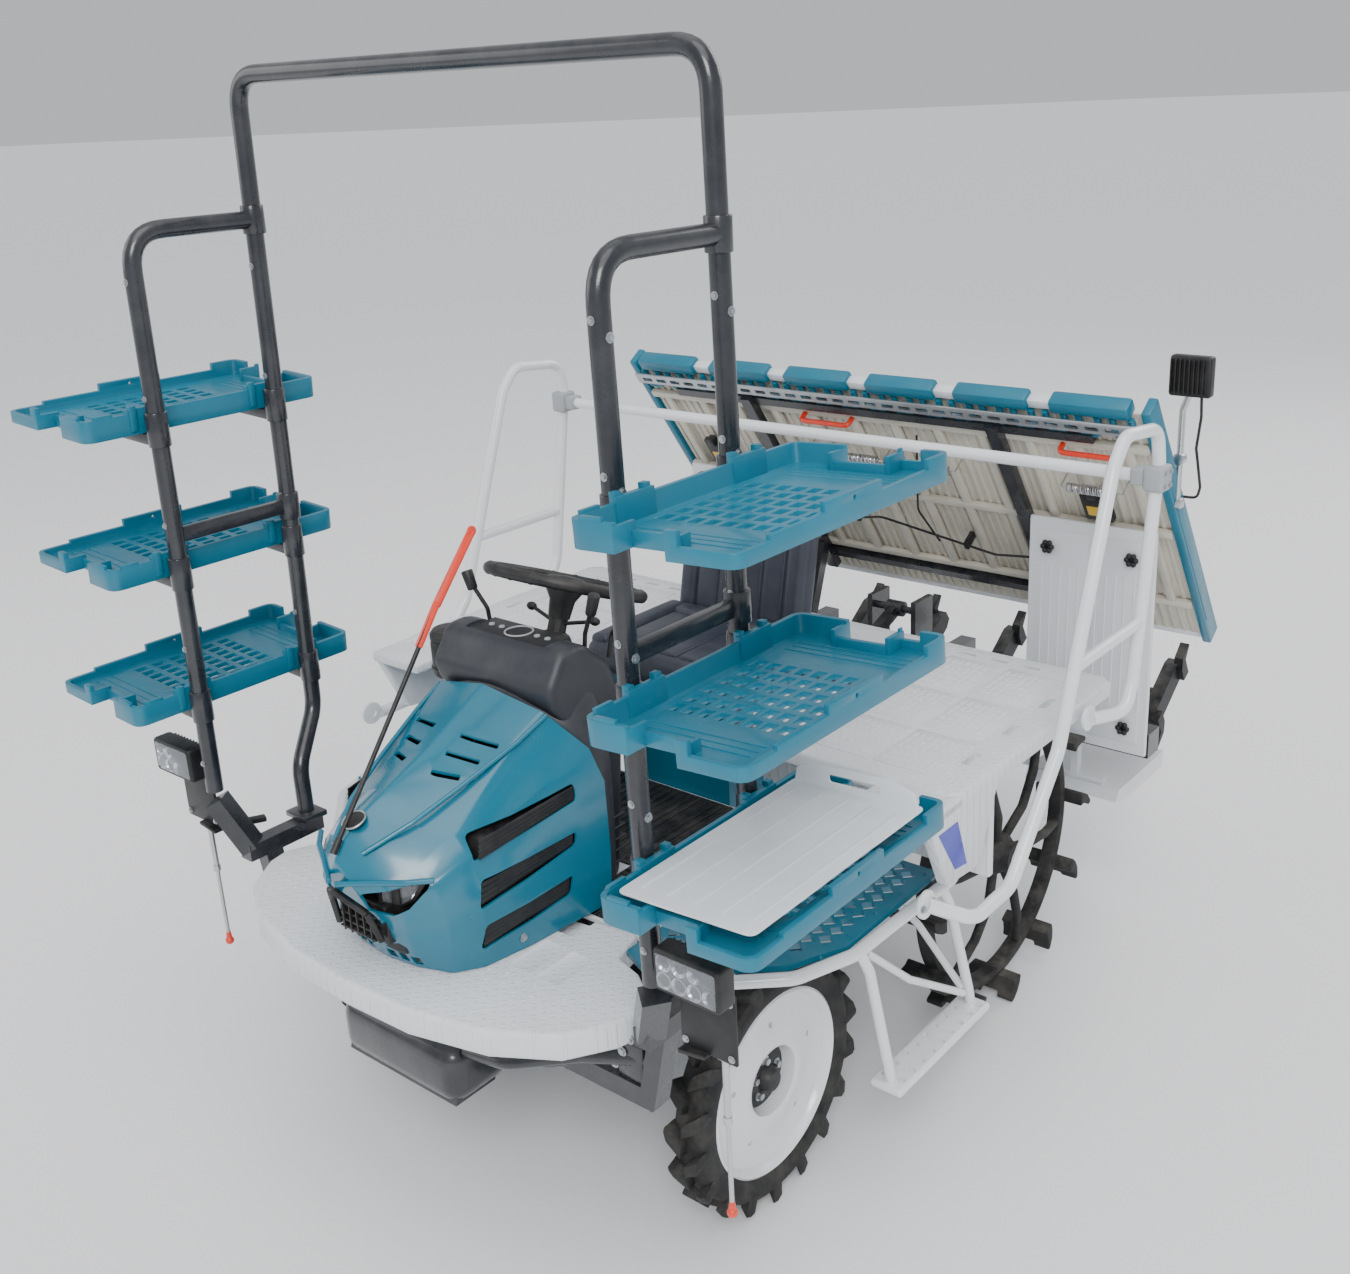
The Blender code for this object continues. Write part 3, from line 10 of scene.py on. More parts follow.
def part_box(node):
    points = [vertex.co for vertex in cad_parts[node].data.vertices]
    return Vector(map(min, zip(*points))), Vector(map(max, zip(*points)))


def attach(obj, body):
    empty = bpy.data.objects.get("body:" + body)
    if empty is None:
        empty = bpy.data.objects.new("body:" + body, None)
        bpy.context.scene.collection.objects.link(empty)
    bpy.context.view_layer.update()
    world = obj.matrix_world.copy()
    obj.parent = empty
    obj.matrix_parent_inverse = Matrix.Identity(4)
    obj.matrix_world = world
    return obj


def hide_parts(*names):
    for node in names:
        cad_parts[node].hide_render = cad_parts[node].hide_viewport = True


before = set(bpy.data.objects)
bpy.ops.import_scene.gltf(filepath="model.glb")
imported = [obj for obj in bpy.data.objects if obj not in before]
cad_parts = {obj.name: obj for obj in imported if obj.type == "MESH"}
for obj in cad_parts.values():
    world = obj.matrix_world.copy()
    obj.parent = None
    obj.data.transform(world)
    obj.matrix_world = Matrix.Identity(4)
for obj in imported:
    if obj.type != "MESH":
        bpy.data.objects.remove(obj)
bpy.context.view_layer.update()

bl_info = {
    "name": "Rice transplanter looks",
    "version": (1, 0, 0),
    "blender": (4, 5, 0),
    "location": "View3D > Sidebar > Transplanter",
    "description": "Builds the visible pieces and finishes of a riding rice transplanter",
    "category": "Object",
}

# Places below are in the machine's frame: y = 0 at the front axle, z = 0 on the ground, left at +X.
AXLE_Y = sum(corner.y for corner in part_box("front_tyre_left")) / 2
TO_WORLD = Matrix.Translation((0, AXLE_Y, 0))
TRAY_HEIGHTS = {"low": 1.160, "mid": 1.514, "top": 1.874}


# ------------------------------------------------------------------ settings
def colour_property(name, value):
    return FloatVectorProperty(name=name, description=f"Base colour of the {name.lower()}", subtype="COLOR",
                               size=3, min=0, max=1, default=value)


def length_property(name, value):
    return FloatProperty(name=name, description=f"{name} in metres", unit="LENGTH", min=0.001, default=value)


class TransplanterColours(bpy.types.PropertyGroup):
    teal: colour_property("Teal plastic", (0.004, 0.150, 0.235))
    white: colour_property("White shell", (0.76, 0.79, 0.82))
    rack: colour_property("Rack paint", (0.012, 0.014, 0.019))
    seat: colour_property("Seat vinyl", (0.022, 0.027, 0.042))
    cream: colour_property("Platform sheet", (0.66, 0.62, 0.53))
    dash: colour_property("Dash plastic", (0.022, 0.025, 0.032))
    marker: colour_property("Marker red", (0.85, 0.045, 0.015))


class TransplanterSizes(bpy.types.PropertyGroup):
    rack_tube: length_property("Rack tube radius", 0.0215)
    rail_tube: length_property("Guard rail tube radius", 0.0170)
    step_tube: length_property("Step tube radius", 0.0160)
    tray_length: length_property("Tray length", 0.647)
    tray_width: length_property("Tray width", 0.3605)
    lug_height: length_property("Front tyre lug height", 0.026)
    lugs: IntProperty(name="Front tyre lugs", description="Lugs round a front tyre", min=8, default=18)
    paddles: IntProperty(name="Paddles", description="Paddles round a rear wheel", min=6, default=12)


# ------------------------------------------------------------------ modelling helpers
def clear():
    """Nothing selected and nothing in edit mode."""
    if bpy.context.object and bpy.context.object.mode != "OBJECT":
        bpy.ops.object.mode_set(mode="OBJECT")
    bpy.ops.object.select_all(action="DESELECT")


def only(obj):
    clear()
    obj.select_set(True)
    bpy.context.view_layer.objects.active = obj
    return obj


def settle():
    """The new object's place moved into its mesh."""
    bpy.ops.object.transform_apply(location=True, rotation=True, scale=True)
    return bpy.context.object


def block(x, y, z, soft=0.0, segments=2):
    """A block between three pairs of limits, its edges rounded."""
    clear()
    size = [high - low for low, high in (x, y, z)]
    bpy.ops.mesh.primitive_cube_add(size=1, location=[(low + high) / 2 for low, high in (x, y, z)])
    bpy.context.object.scale = size
    made = settle()
    if soft:
        bpy.ops.object.mode_set(mode="EDIT")
        bpy.ops.mesh.select_all(action="SELECT")
        bpy.ops.mesh.bevel(offset=min(soft, min(size) * 0.45), segments=segments, affect="EDGES")
        bpy.ops.object.mode_set(mode="OBJECT")
    return made


def turn_between(start, end):
    return (Vector(end) - Vector(start)).to_track_quat("Z", "Y").to_euler()


def bar(start, end, radius, sides=16, end_radius=None, soft=0.0):
    """A round bar, or a cone, between two points."""
    clear()
    start, end = Vector(start), Vector(end)
    bpy.ops.mesh.primitive_cone_add(vertices=sides, radius1=radius, depth=(end - start).length,
                                    radius2=radius if end_radius is None else end_radius,
                                    location=(start + end) / 2, rotation=turn_between(start, end))
    made = settle()
    return rounded_off(made, soft, 2) if soft else made


def flat_bar(start, end, width, height, soft=0.003):
    clear()
    start, end = Vector(start), Vector(end)
    bpy.ops.mesh.primitive_cube_add(size=1, location=(start + end) / 2, rotation=turn_between(start, end))
    bpy.context.object.scale = (width, height, (end - start).length)
    made = settle()
    bpy.ops.object.mode_set(mode="EDIT")
    bpy.ops.mesh.select_all(action="SELECT")
    bpy.ops.mesh.bevel(offset=soft, segments=2, affect="EDGES")
    bpy.ops.object.mode_set(mode="OBJECT")
    return made


def knob(centre, radius, squash=(1, 1, 1), segments=16, rings=10):
    clear()
    bpy.ops.mesh.primitive_uv_sphere_add(segments=segments, ring_count=rings, radius=radius, location=centre)
    bpy.context.object.scale = squash
    return settle()


def ring(centre, normal, major, minor, steps=48, sides=12):
    clear()
    bpy.ops.mesh.primitive_torus_add(major_radius=major, minor_radius=minor, major_segments=steps,
                                     minor_segments=sides, location=centre,
                                     rotation=turn_between((0, 0, 0), normal))
    return settle()


def outline(points, axis):
    """A flat face through points in the plane across an axis."""
    clear()
    bpy.ops.mesh.primitive_circle_add(vertices=len(points), radius=1, fill_type="NGON")
    made = bpy.context.object
    order = {"X": lambda a, b: (0, a, b), "Y": lambda a, b: (a, 0, b), "Z": lambda a, b: (a, b, 0)}[axis]
    for vert, point in zip(made.data.vertices, points):
        vert.co = order(*point)
    return made


def plate(points, axis, low, high, soft=0.0, segments=2):
    """An outline in the plane across an axis, extruded between two limits on it."""
    made = outline(points, axis)
    unit = Vector({"X": (1, 0, 0), "Y": (0, 1, 0), "Z": (0, 0, 1)}[axis])
    made.data.transform(Matrix.Translation(unit * low))
    bpy.ops.object.mode_set(mode="EDIT")
    bpy.ops.mesh.select_all(action="SELECT")
    bpy.ops.mesh.extrude_region_move(TRANSFORM_OT_translate={"value": unit * (high - low)})
    bpy.ops.mesh.select_all(action="SELECT")
    bpy.ops.mesh.normals_make_consistent(inside=False)
    bpy.ops.object.mode_set(mode="OBJECT")
    return rounded_off(made, soft, segments) if soft else made


def spun(profile, centre, axis, steps=64):
    """A closed profile of (radius, place along the axis) spun right round."""
    clear()
    centre = Vector(centre)
    bpy.ops.mesh.primitive_circle_add(vertices=len(profile), radius=1, fill_type="NOTHING")
    made = bpy.context.object
    along = Vector({"X": (1, 0, 0), "Y": (0, 1, 0), "Z": (0, 0, 1)}[axis])
    side = Vector((1, 0, 0)) if axis == "Z" else Vector((0, 0, 1))
    for vert, (radius, place) in zip(made.data.vertices, profile):
        vert.co = centre + side * radius + along * place
    bpy.ops.object.mode_set(mode="EDIT")
    bpy.ops.mesh.select_all(action="SELECT")
    bpy.ops.mesh.spin(steps=steps, angle=2 * pi, center=centre, axis=along)
    bpy.ops.mesh.select_all(action="SELECT")
    bpy.ops.mesh.remove_doubles(threshold=1e-5)
    bpy.ops.mesh.delete_loose(use_verts=True, use_edges=True, use_faces=False)
    bpy.ops.mesh.select_all(action="SELECT")
    bpy.ops.mesh.normals_make_consistent(inside=False)
    bpy.ops.object.mode_set(mode="OBJECT")
    return made


def filleted(points, radius, steps=6):
    """A path through points whose corners are replaced by arcs."""
    points = [Vector(point) for point in points]
    path = [points[0]]
    for before, corner, after in zip(points, points[1:], points[2:]):
        back, on = (before - corner).normalized(), (after - corner).normalized()
        reach = min(radius / max(0.05, tan(back.angle(on) / 2)), 0.48 * (before - corner).length,
                    0.48 * (after - corner).length)
        first, last = corner + back * reach, corner + on * reach
        for i in range(steps + 1):
            t = i / steps
            path.append(first * (1 - t) ** 2 + corner * 2 * t * (1 - t) + last * t ** 2)
    return path + [points[-1]]


def pipe(points, radius, bend=0.06, sides=16, steps=6, closed=False):
    """A round tube along a path."""
    path = points if bend is None else filleted(points, bend, steps)
    curve = bpy.data.curves.new("path", "CURVE")
    curve.dimensions = "3D"
    curve.bevel_depth = radius
    curve.bevel_resolution = max(0, (sides - 4) // 2)
    curve.use_fill_caps = not closed
    spline = curve.splines.new("POLY")
    spline.points.add(len(path) - 1)
    spline.use_cyclic_u = closed
    for point, place in zip(spline.points, path):
        point.co = (*place, 1.0)
    carrier = bpy.data.objects.new("path", curve)
    bpy.context.scene.collection.objects.link(carrier)
    only(carrier)
    bpy.ops.object.convert(target="MESH")
    made = bpy.context.object
    bpy.ops.object.mode_set(mode="EDIT")
    bpy.ops.mesh.select_all(action="SELECT")
    bpy.ops.mesh.remove_doubles(threshold=1e-5)
    bpy.ops.mesh.normals_make_consistent(inside=False)
    bpy.ops.object.mode_set(mode="OBJECT")
    return made


def coil(start, end, radius, wire, turns, sides=6):
    """A spring wound between two points."""
    start, end = Vector(start), Vector(end)
    turn = (end - start).to_track_quat("Z", "Y").to_matrix()
    steps = turns * 10
    points = []
    for i in range(steps + 1):
        angle = 2 * pi * i / 10
        offset = turn @ Vector((cos(angle) * radius, sin(angle) * radius, 0))
        points.append(start.lerp(end, i / steps) + offset)
    return pipe(points, wire, bend=None, sides=sides)


def joined(parts):
    """Several objects made one."""
    parts = list(parts)
    clear()
    for part in parts:
        part.select_set(True)
    bpy.context.view_layer.objects.active = parts[0]
    if len(parts) > 1:
        bpy.ops.object.join()
    return parts[0]


def with_modifier(obj, kind, **values):
    only(obj)
    modifier = obj.modifiers.new(kind.lower(), kind)
    for key, value in values.items():
        setattr(modifier, key, value)
    bpy.ops.object.modifier_apply(modifier=modifier.name)
    return obj


def rounded_off(obj, width, segments=2, angle=32):
    return with_modifier(obj, "BEVEL", width=width, segments=segments, limit_method="ANGLE",
                         angle_limit=radians(angle), use_clamp_overlap=True)


def carved(obj, cutters):
    """The object less the cutters, which are used up."""
    cutter = joined(cutters)
    with_modifier(obj, "BOOLEAN", operation="DIFFERENCE", solver="EXACT", object=cutter, use_self=True)
    bpy.data.objects.remove(cutter, do_unlink=True)
    return obj


def moved(obj, matrix):
    obj.data.transform(matrix)
    if matrix.determinant() < 0:
        obj.data.flip_normals()
    return obj


def another(obj, matrix=None):
    """A copy with its own mesh."""
    copy = obj.copy()
    copy.data = obj.data.copy()
    bpy.context.scene.collection.objects.link(copy)
    return moved(copy, matrix) if matrix else copy


def mirror_of(obj):
    return another(obj, Matrix.Diagonal((-1, 1, 1, 1)))


def both_sides(parts):
    parts = list(parts)
    return parts + [mirror_of(part) for part in parts]


def finished(obj, name, material, body, stands_for=(), smooth=35):
    """The object named, painted, set in the world and riding on its body."""
    obj.name = obj.data.name = name
    obj.data.materials.clear()
    obj.data.materials.append(MATERIALS[material])
    only(obj)
    bpy.ops.object.shade_smooth_by_angle(angle=radians(smooth), keep_sharp_edges=False)
    obj.data.transform(TO_WORLD)
    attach(obj, body)
    if stands_for:
        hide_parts(*stands_for)
    return obj


def finished_pair(obj, name, material, bodies, stands_for=(), smooth=35):
    """The left piece and its mirror image on the right."""
    if isinstance(bodies, str):
        bodies = (bodies, bodies)
    other = mirror_of(obj)
    finished(obj, f"{name}_left", material, bodies[0], [f"{node}_left" for node in stands_for], smooth)
    finished(other, f"{name}_right", material, bodies[1], [f"{node}_right" for node in stands_for],
             smooth)


# ------------------------------------------------------------------ shared shader effects
MATERIALS = {}
GROUPS = {}


def new_group(name, inputs, outputs):
    """A node group with named sockets; returns the tree and a way to add nodes to it."""
    tree = bpy.data.node_groups.new(name, "ShaderNodeTree")
    for label, kind, value in inputs:
        socket = tree.interface.new_socket(name=label, in_out="INPUT", socket_type=kind)
        socket.default_value = value
    for label, kind in outputs:
        tree.interface.new_socket(name=label, in_out="OUTPUT", socket_type=kind)
    GROUPS[name] = tree
    return tree, tree.nodes.new("NodeGroupInput"), tree.nodes.new("NodeGroupOutput")


def node(tree, kind, **values):
    """A node, with its settings and the values of its sockets."""
    made = tree.nodes.new(kind)
    for key, value in values.items():
        if key in made.inputs:
            made.inputs[key].default_value = value
        else:
            setattr(made, key, value)
    return made


def noise(tree, vector, scale, detail=4.0, roughness=0.6):
    made = node(tree, "ShaderNodeTexNoise", Detail=detail, Roughness=roughness)
    tree.links.new(vector, made.inputs["Vector"])
    if isinstance(scale, (int, float)):
        made.inputs["Scale"].default_value = scale
    else:
        tree.links.new(scale, made.inputs["Scale"])
    return made.outputs["Fac"]


def sums(tree, operation, a, b):
    made = tree.nodes.new("ShaderNodeMath")
    made.operation = operation
    for socket, value in zip(made.inputs, (a, b)):
        if isinstance(value, (int, float)):
            socket.default_value = value
        else:
            tree.links.new(value, socket)
    return made.outputs[0]


def ramp(tree, value, low, high, to_low=0.0, to_high=1.0):
    made = node(tree, "ShaderNodeMapRange")
    tree.links.new(value, made.inputs["Value"])
    for label, number in (("From Min", low), ("From Max", high), ("To Min", to_low), ("To Max", to_high)):
        if isinstance(number, (int, float)):
            made.inputs[label].default_value = number
        else:
            tree.links.new(number, made.inputs[label])
    return made.outputs["Result"]


def mixed(tree, factor, a, b):
    made = tree.nodes.new("ShaderNodeMix")
    made.data_type = "RGBA"
    for socket, value in ((made.inputs["Factor"], factor), (made.inputs["A"], a), (made.inputs["B"], b)):
        if isinstance(value, bpy.types.NodeSocket):
            tree.links.new(value, socket)
        else:
            socket.default_value = value
    return [s for s in made.outputs if s.type == "RGBA"][0]


def make_groups():
    """Mottle, grain, dust and scuffs: effects that several finishes share."""
    tree, given, out = new_group("colour_mottle", [("Vector", "NodeSocketVector", (0, 0, 0)),
                                                   ("Colour", "NodeSocketColor", (1, 1, 1, 1)),
                                                   ("Worn Colour", "NodeSocketColor", (1, 1, 1, 1)),
                                                   ("Scale", "NodeSocketFloat", 3.0)],
                                 [("Colour", "NodeSocketColor"), ("Mask", "NodeSocketFloat")])
    wide = noise(tree, given.outputs["Vector"], given.outputs["Scale"], 5.0, 0.62)
    mask = ramp(tree, wide, 0.35, 0.72)
    tree.links.new(mask, out.inputs["Mask"])
    tree.links.new(mixed(tree, mask, given.outputs["Colour"], given.outputs["Worn Colour"]),
                   out.inputs["Colour"])

    tree, given, out = new_group("moulded_grain", [("Vector", "NodeSocketVector", (0, 0, 0)),
                                                   ("Scale", "NodeSocketFloat", 300.0),
                                                   ("Ripple", "NodeSocketFloat", 0.3)],
                                 [("Height", "NodeSocketFloat")])
    fine = noise(tree, given.outputs["Vector"], given.outputs["Scale"], 2.0)
    broad = sums(tree, "MULTIPLY", noise(tree, given.outputs["Vector"], 6.0, 2.0), given.outputs["Ripple"])
    tree.links.new(sums(tree, "ADD", fine, broad), out.inputs["Height"])

    tree, given, out = new_group("settled_dust", [("Vector", "NodeSocketVector", (0, 0, 0)),
                                                  ("Amount", "NodeSocketFloat", 0.3)],
                                 [("Mask", "NodeSocketFloat")])
    facing = tree.nodes.new("ShaderNodeNewGeometry")
    split = tree.nodes.new("ShaderNodeSeparateXYZ")
    tree.links.new(facing.outputs["Normal"], split.inputs[0])
    upward = ramp(tree, split.outputs["Z"], -0.2, 1.0, 0.25, 1.0)
    cloud = ramp(tree, noise(tree, given.outputs["Vector"], 9.0, 8.0, 0.7), 0.42, 0.75)
    tree.links.new(sums(tree, "MULTIPLY", sums(tree, "MULTIPLY", upward, cloud), given.outputs["Amount"]),
                   out.inputs["Mask"])

    tree, given, out = new_group("fine_scuffs", [("Vector", "NodeSocketVector", (0, 0, 0)),
                                                 ("Amount", "NodeSocketFloat", 0.3)],
                                 [("Mask", "NodeSocketFloat")])
    stretch = node(tree, "ShaderNodeMapping")
    stretch.inputs["Scale"].default_value = (4.0, 30.0, 90.0)
    stretch.inputs["Rotation"].default_value = (0.5, 0.3, 0.8)
    tree.links.new(given.outputs["Vector"], stretch.inputs["Vector"])
    lines = ramp(tree, noise(tree, stretch.outputs["Vector"], 4.0, 3.0, 0.5), 0.66, 0.74)
    patches = ramp(tree, noise(tree, given.outputs["Vector"], 4.0, 2.0), 0.45, 0.65)
    tree.links.new(sums(tree, "MULTIPLY", sums(tree, "MULTIPLY", lines, patches), given.outputs["Amount"]),
                   out.inputs["Mask"])


def use_group(tree, name, vector, **values):
    made = tree.nodes.new("ShaderNodeGroup")
    made.node_tree = GROUPS[name]
    tree.links.new(vector, made.inputs["Vector"])
    for label, value in values.items():
        made.inputs[label.replace("_", " ")].default_value = value
    return made


def shifted(colour, factor):
    return tuple(min(1.0, channel * factor) for channel in colour[:3]) + (1.0,)


def finish(name, colour, rough=0.4, metal=0.0, coat=0.0, grain=300.0, bump=0.0002, ripple=0.3, worn=1.25,
           mottle=3.0, dust=0.25, scuffs=0.3, dust_colour=(0.42, 0.39, 0.33, 1.0), extra_height=None):
    """A surface with mottled colour, moulded or brushed grain, a little dust and some scuffs."""
    material = bpy.data.materials.new(name)
    material.use_nodes = True
    tree = material.node_tree
    shader = tree.nodes["Principled BSDF"]
    place = tree.nodes.new("ShaderNodeTexCoord").outputs["Object"]
    base = use_group(tree, "colour_mottle", place, Colour=shifted(colour, 1.0),
                     Worn_Colour=shifted(colour, worn),
                     Scale=mottle)
    film = use_group(tree, "settled_dust", place, Amount=dust)
    marks = use_group(tree, "fine_scuffs", place, Amount=scuffs)
    dusty = mixed(tree, film.outputs["Mask"], base.outputs["Colour"], dust_colour)
    pale = mixed(tree, marks.outputs["Mask"], dusty, shifted(colour, 1.9))
    tree.links.new(pale, shader.inputs["Base Color"])
    cloudy = sums(tree, "MULTIPLY", noise(tree, place, 14.0, 4.0), 0.18)
    dulled = sums(tree, "ADD", sums(tree, "MULTIPLY", film.outputs["Mask"], 0.5), cloudy)
    tree.links.new(sums(tree, "ADD", dulled, rough - 0.09), shader.inputs["Roughness"])
    grained = use_group(tree, "moulded_grain", place, Scale=grain, Ripple=ripple)
    height = grained.outputs["Height"]
    if extra_height:
        height = sums(tree, "ADD", height, extra_height(tree, place))
    raised = node(tree, "ShaderNodeBump", Strength=0.6, Distance=bump)
    tree.links.new(height, raised.inputs["Height"])
    tree.links.new(raised.outputs["Normal"], shader.inputs["Normal"])
    shader.inputs["Metallic"].default_value = metal
    shader.inputs["Coat Weight"].default_value = coat
    shader.inputs["Coat Roughness"].default_value = 0.12
    MATERIALS[name] = material
    return material


def tread_height(tree, place):
    """Raised lozenges that turn about from one to the next, as on a tread plate."""
    heights = []
    for turn, phase in ((0.785, 0.0), (-0.785, 0.5)):
        laid = node(tree, "ShaderNodeMapping")
        laid.inputs["Rotation"].default_value = (0, 0, turn)
        laid.inputs["Location"].default_value = (phase * 0.03, phase * 0.03, 0)
        tree.links.new(place, laid.inputs["Vector"])
        brick = node(tree, "ShaderNodeTexBrick", Scale=1.0)
        for label, number in (("Mortar Size", 0.006), ("Mortar Smooth", 0.5), ("Brick Width", 0.042),
                              ("Row Height", 0.021)):
            brick.inputs[label].default_value = number
        tree.links.new(laid.outputs["Vector"], brick.inputs["Vector"])
        heights.append(sums(tree, "SUBTRACT", 1.0, brick.outputs["Fac"]))
    return sums(tree, "MULTIPLY", sums(tree, "MULTIPLY", heights[0], heights[1]), 3.0)


def pebble_height(tree, place):
    """A leather-like grain of rounded cells."""
    cells = node(tree, "ShaderNodeTexVoronoi", Scale=260.0)
    tree.links.new(place, cells.inputs["Vector"])
    return sums(tree, "MULTIPLY", cells.outputs["Distance"], -1.6)


def rib_height(tree, place):
    waves = node(tree, "ShaderNodeTexWave", Scale=28.0)
    waves.bands_direction = "X"
    tree.links.new(place, waves.inputs["Vector"])
    return sums(tree, "MULTIPLY", waves.outputs["Fac"], 4.0)


def make_finishes(colours):
    teal, white = tuple(colours.teal), tuple(colours.white)
    finish("teal_shell", teal, 0.24, coat=0.5, grain=700, bump=0.00005, ripple=1.2, worn=1.10, dust=0.03,
           scuffs=0.06)
    finish("teal_tray", teal, 0.36, coat=0.15, grain=420, bump=0.00018, worn=1.18, mottle=5, dust=0.06,
           scuffs=0.30)
    finish("teal_dark", shifted(teal, 0.38), 0.42, grain=400, dust=0.15)
    finish("white_shell", white, 0.36, coat=0.1, grain=380, bump=0.00015, worn=0.94, dust=0.10, scuffs=0.2)
    finish("white_tread", white, 0.42, grain=380, bump=0.0007, worn=0.93, dust=0.14, scuffs=0.2,
           extra_height=tread_height)
    finish("white_tube", (0.83, 0.85, 0.87), 0.22, coat=0.6, grain=120, bump=0.00008, worn=0.95, dust=0.08)
    finish("rack_paint", tuple(colours.rack), 0.28, coat=0.5, grain=160, bump=0.0001, worn=1.5, mottle=9,
           dust=0.12,
           scuffs=0.5)
    finish("black_plastic", (0.0045, 0.0048, 0.0060), 0.45, grain=500, bump=0.0002, worn=1.7, dust=0.16)
    finish("black_mat", (0.006, 0.007, 0.009), 0.6, grain=300, bump=0.0012, worn=1.8, dust=0.2,
           extra_height=rib_height)
    finish("dash_plastic", tuple(colours.dash), 0.42, grain=620, bump=0.0002, worn=1.3, dust=0.10)
    finish("seat_vinyl", tuple(colours.seat), 0.40, coat=0.1, grain=200, bump=0.0004, worn=1.35, mottle=6,
           dust=0.10,
           scuffs=0.2, extra_height=pebble_height)
    finish("rubber", (0.0050, 0.0050, 0.0056), 0.72, grain=180, bump=0.0006, worn=2.0, mottle=8, dust=0.30)
    finish("cast_metal", (0.010, 0.011, 0.013), 0.5, metal=0.4, grain=220, bump=0.0008, worn=1.8, dust=0.3)
    finish("steel", (0.62, 0.63, 0.65), 0.28, metal=1.0, grain=260, bump=0.0001, worn=0.8, dust=0.08)
    finish("zinc", (0.50, 0.52, 0.54), 0.38, metal=0.9, grain=90, bump=0.0002, worn=0.75, mottle=14,
           dust=0.12)
    finish("grey_plastic", (0.36, 0.38, 0.40), 0.42, grain=400, worn=1.1, dust=0.12)
    finish("cream_sheet", tuple(colours.cream), 0.48, grain=300, worn=0.86, mottle=7, dust=0.25)
    finish("marker_red", tuple(colours.marker), 0.30, coat=0.3, grain=400, worn=0.85, dust=0.05)
    finish("decal_blue", (0.012, 0.020, 0.42), 0.25, coat=0.4, worn=1.2, dust=0.05)
    finish("decal_yellow", (0.80, 0.50, 0.03), 0.35, worn=0.9, dust=0.05)
    finish("mirror_bowl", (0.80, 0.82, 0.85), 0.12, metal=1.0, worn=0.9, dust=0.0, scuffs=0.0)
    lens = bpy.data.materials.new("clear_lens")
    lens.use_nodes = True
    shader = lens.node_tree.nodes["Principled BSDF"]
    shader.inputs["Base Color"].default_value = (0.92, 0.95, 1.0, 1.0)
    shader.inputs["Roughness"].default_value = 0.06
    shader.inputs["Transmission Weight"].default_value = 0.9
    shader.inputs["IOR"].default_value = 1.45
    MATERIALS["clear_lens"] = lens


CARRIED = {
    "white_shell": ["planting_floats"],
    "teal_tray": ["seat_base"],
    "rack_paint": ["chassis_frame", "lift_lower_link", "lift_top_link", "planting_frame"],
    "cast_metal": ["engine_block", "front_axle_case", "rear_transaxle", "knuckle_left", "knuckle_right",
                   "lift_cylinder", "planting_rotor_left", "planting_rotor_middle", "planting_rotor_right"],
    "black_plastic": ["steering_column", "grille_panel", "rear_lamp_lead"],
    "steel": ["lift_rod"],
}


def paint_carried_nodes():
    """Each CAD node that stays in sight gets its finish."""
    for material, names in CARRIED.items():
        for name in names:
            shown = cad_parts[name]
            shown.data.materials.clear()
            shown.data.materials.append(MATERIALS[material])


# ------------------------------------------------------------------ lines that several pieces share
def post_x(z):
    return 0.748 - 0.020 * (z - 1.16)


def post_y(z):
    return -0.194 + 0.006 * (z - 1.16)


FRONT_POST_Y = -0.520
DECK_TOP = 1.050
HOOD_ROWS = [
    [(.270, -.130, .76), (.276, -.130, .90), (.272, -.130, 1.08), (.250, -.150, 1.165), (.175, -.215, 1.262),
     (0, -.235, 1.300)],
    [(.266, -.200, .76), (.271, -.200, .90), (.264, -.200, 1.06), (.238, -.230, 1.140), (.165, -.290, 1.222),
     (0, -.310, 1.262)],
    [(.248, -.380, .76), (.256, -.380, .88), (.248, -.380, 1.00), (.222, -.380, 1.085), (.168, -.390, 1.160),
     (0, -.420, 1.205)],
    [(.226, -.500, .76), (.236, -.500, .86), (.232, -.500, .96), (.212, -.500, 1.030), (.172, -.505, 1.080),
     (0, -.530, 1.160)],
    [(.185, -.560, .76), (.205, -.573, .85), (.205, -.582, .94), (.190, -.590, .99), (.150, -.597, 1.030),
     (0, -.612, 1.128)],
    [(.100, -.590, .76), (.130, -.625, .85), (.140, -.640, .93), (.130, -.650, .97), (.100, -.660, 1.01),
     (0, -.665, 1.092)],
    [(.020, -.600, .76), (.040, -.645, .86), (.050, -.668, .93), (.050, -.682, .965), (.045, -.692, .99),
     (0, -.700, 1.048)],
]
SIDE_VENTS = [
    [(-.489, 1.073), (-.496, 1.017), (-.215, 1.063), (-.211, 1.102)],
    [(-.493, .974), (-.504, .907), (-.230, .956), (-.226, .988)],
    [(-.497, .865), (-.508, .806), (-.255, .839), (-.247, .885)],
]
APRON_HALF = [(0, -.720), (.20, -.712), (.40, -.665), (.54, -.585), (.608, -.485), (.620, -.430),
              (.590, -.365),
              (.520, -.318), (.440, -.295), (.415, -.200)]
STEP_TUBE_Z = 0.732
SLOPE_LOW, SLOPE_HIGH = Vector((0, 1.950, 0.900)), Vector((0, 1.370, 1.728))
WHEEL_CENTRE = Vector((0, 0.062, 1.466))
WHEEL_RAKE = radians(22)
REAR_AXLE = Vector((0.667, 1.050, 0.475))


def symmetric(half):
    return [(-x, y) for x, y in reversed(half[1:])] + list(half)


def on_slope(x, along, out):
    """A point on the seedling platform: across, up its slope from the low edge, and out of its under face."""
    up = (SLOPE_HIGH - SLOPE_LOW).normalized()
    away = Vector((0, -up.z, up.y))
    return Vector((x, 0, 0)) + SLOPE_LOW + up * along + away * out


SLOPE_LENGTH = (SLOPE_HIGH - SLOPE_LOW).length


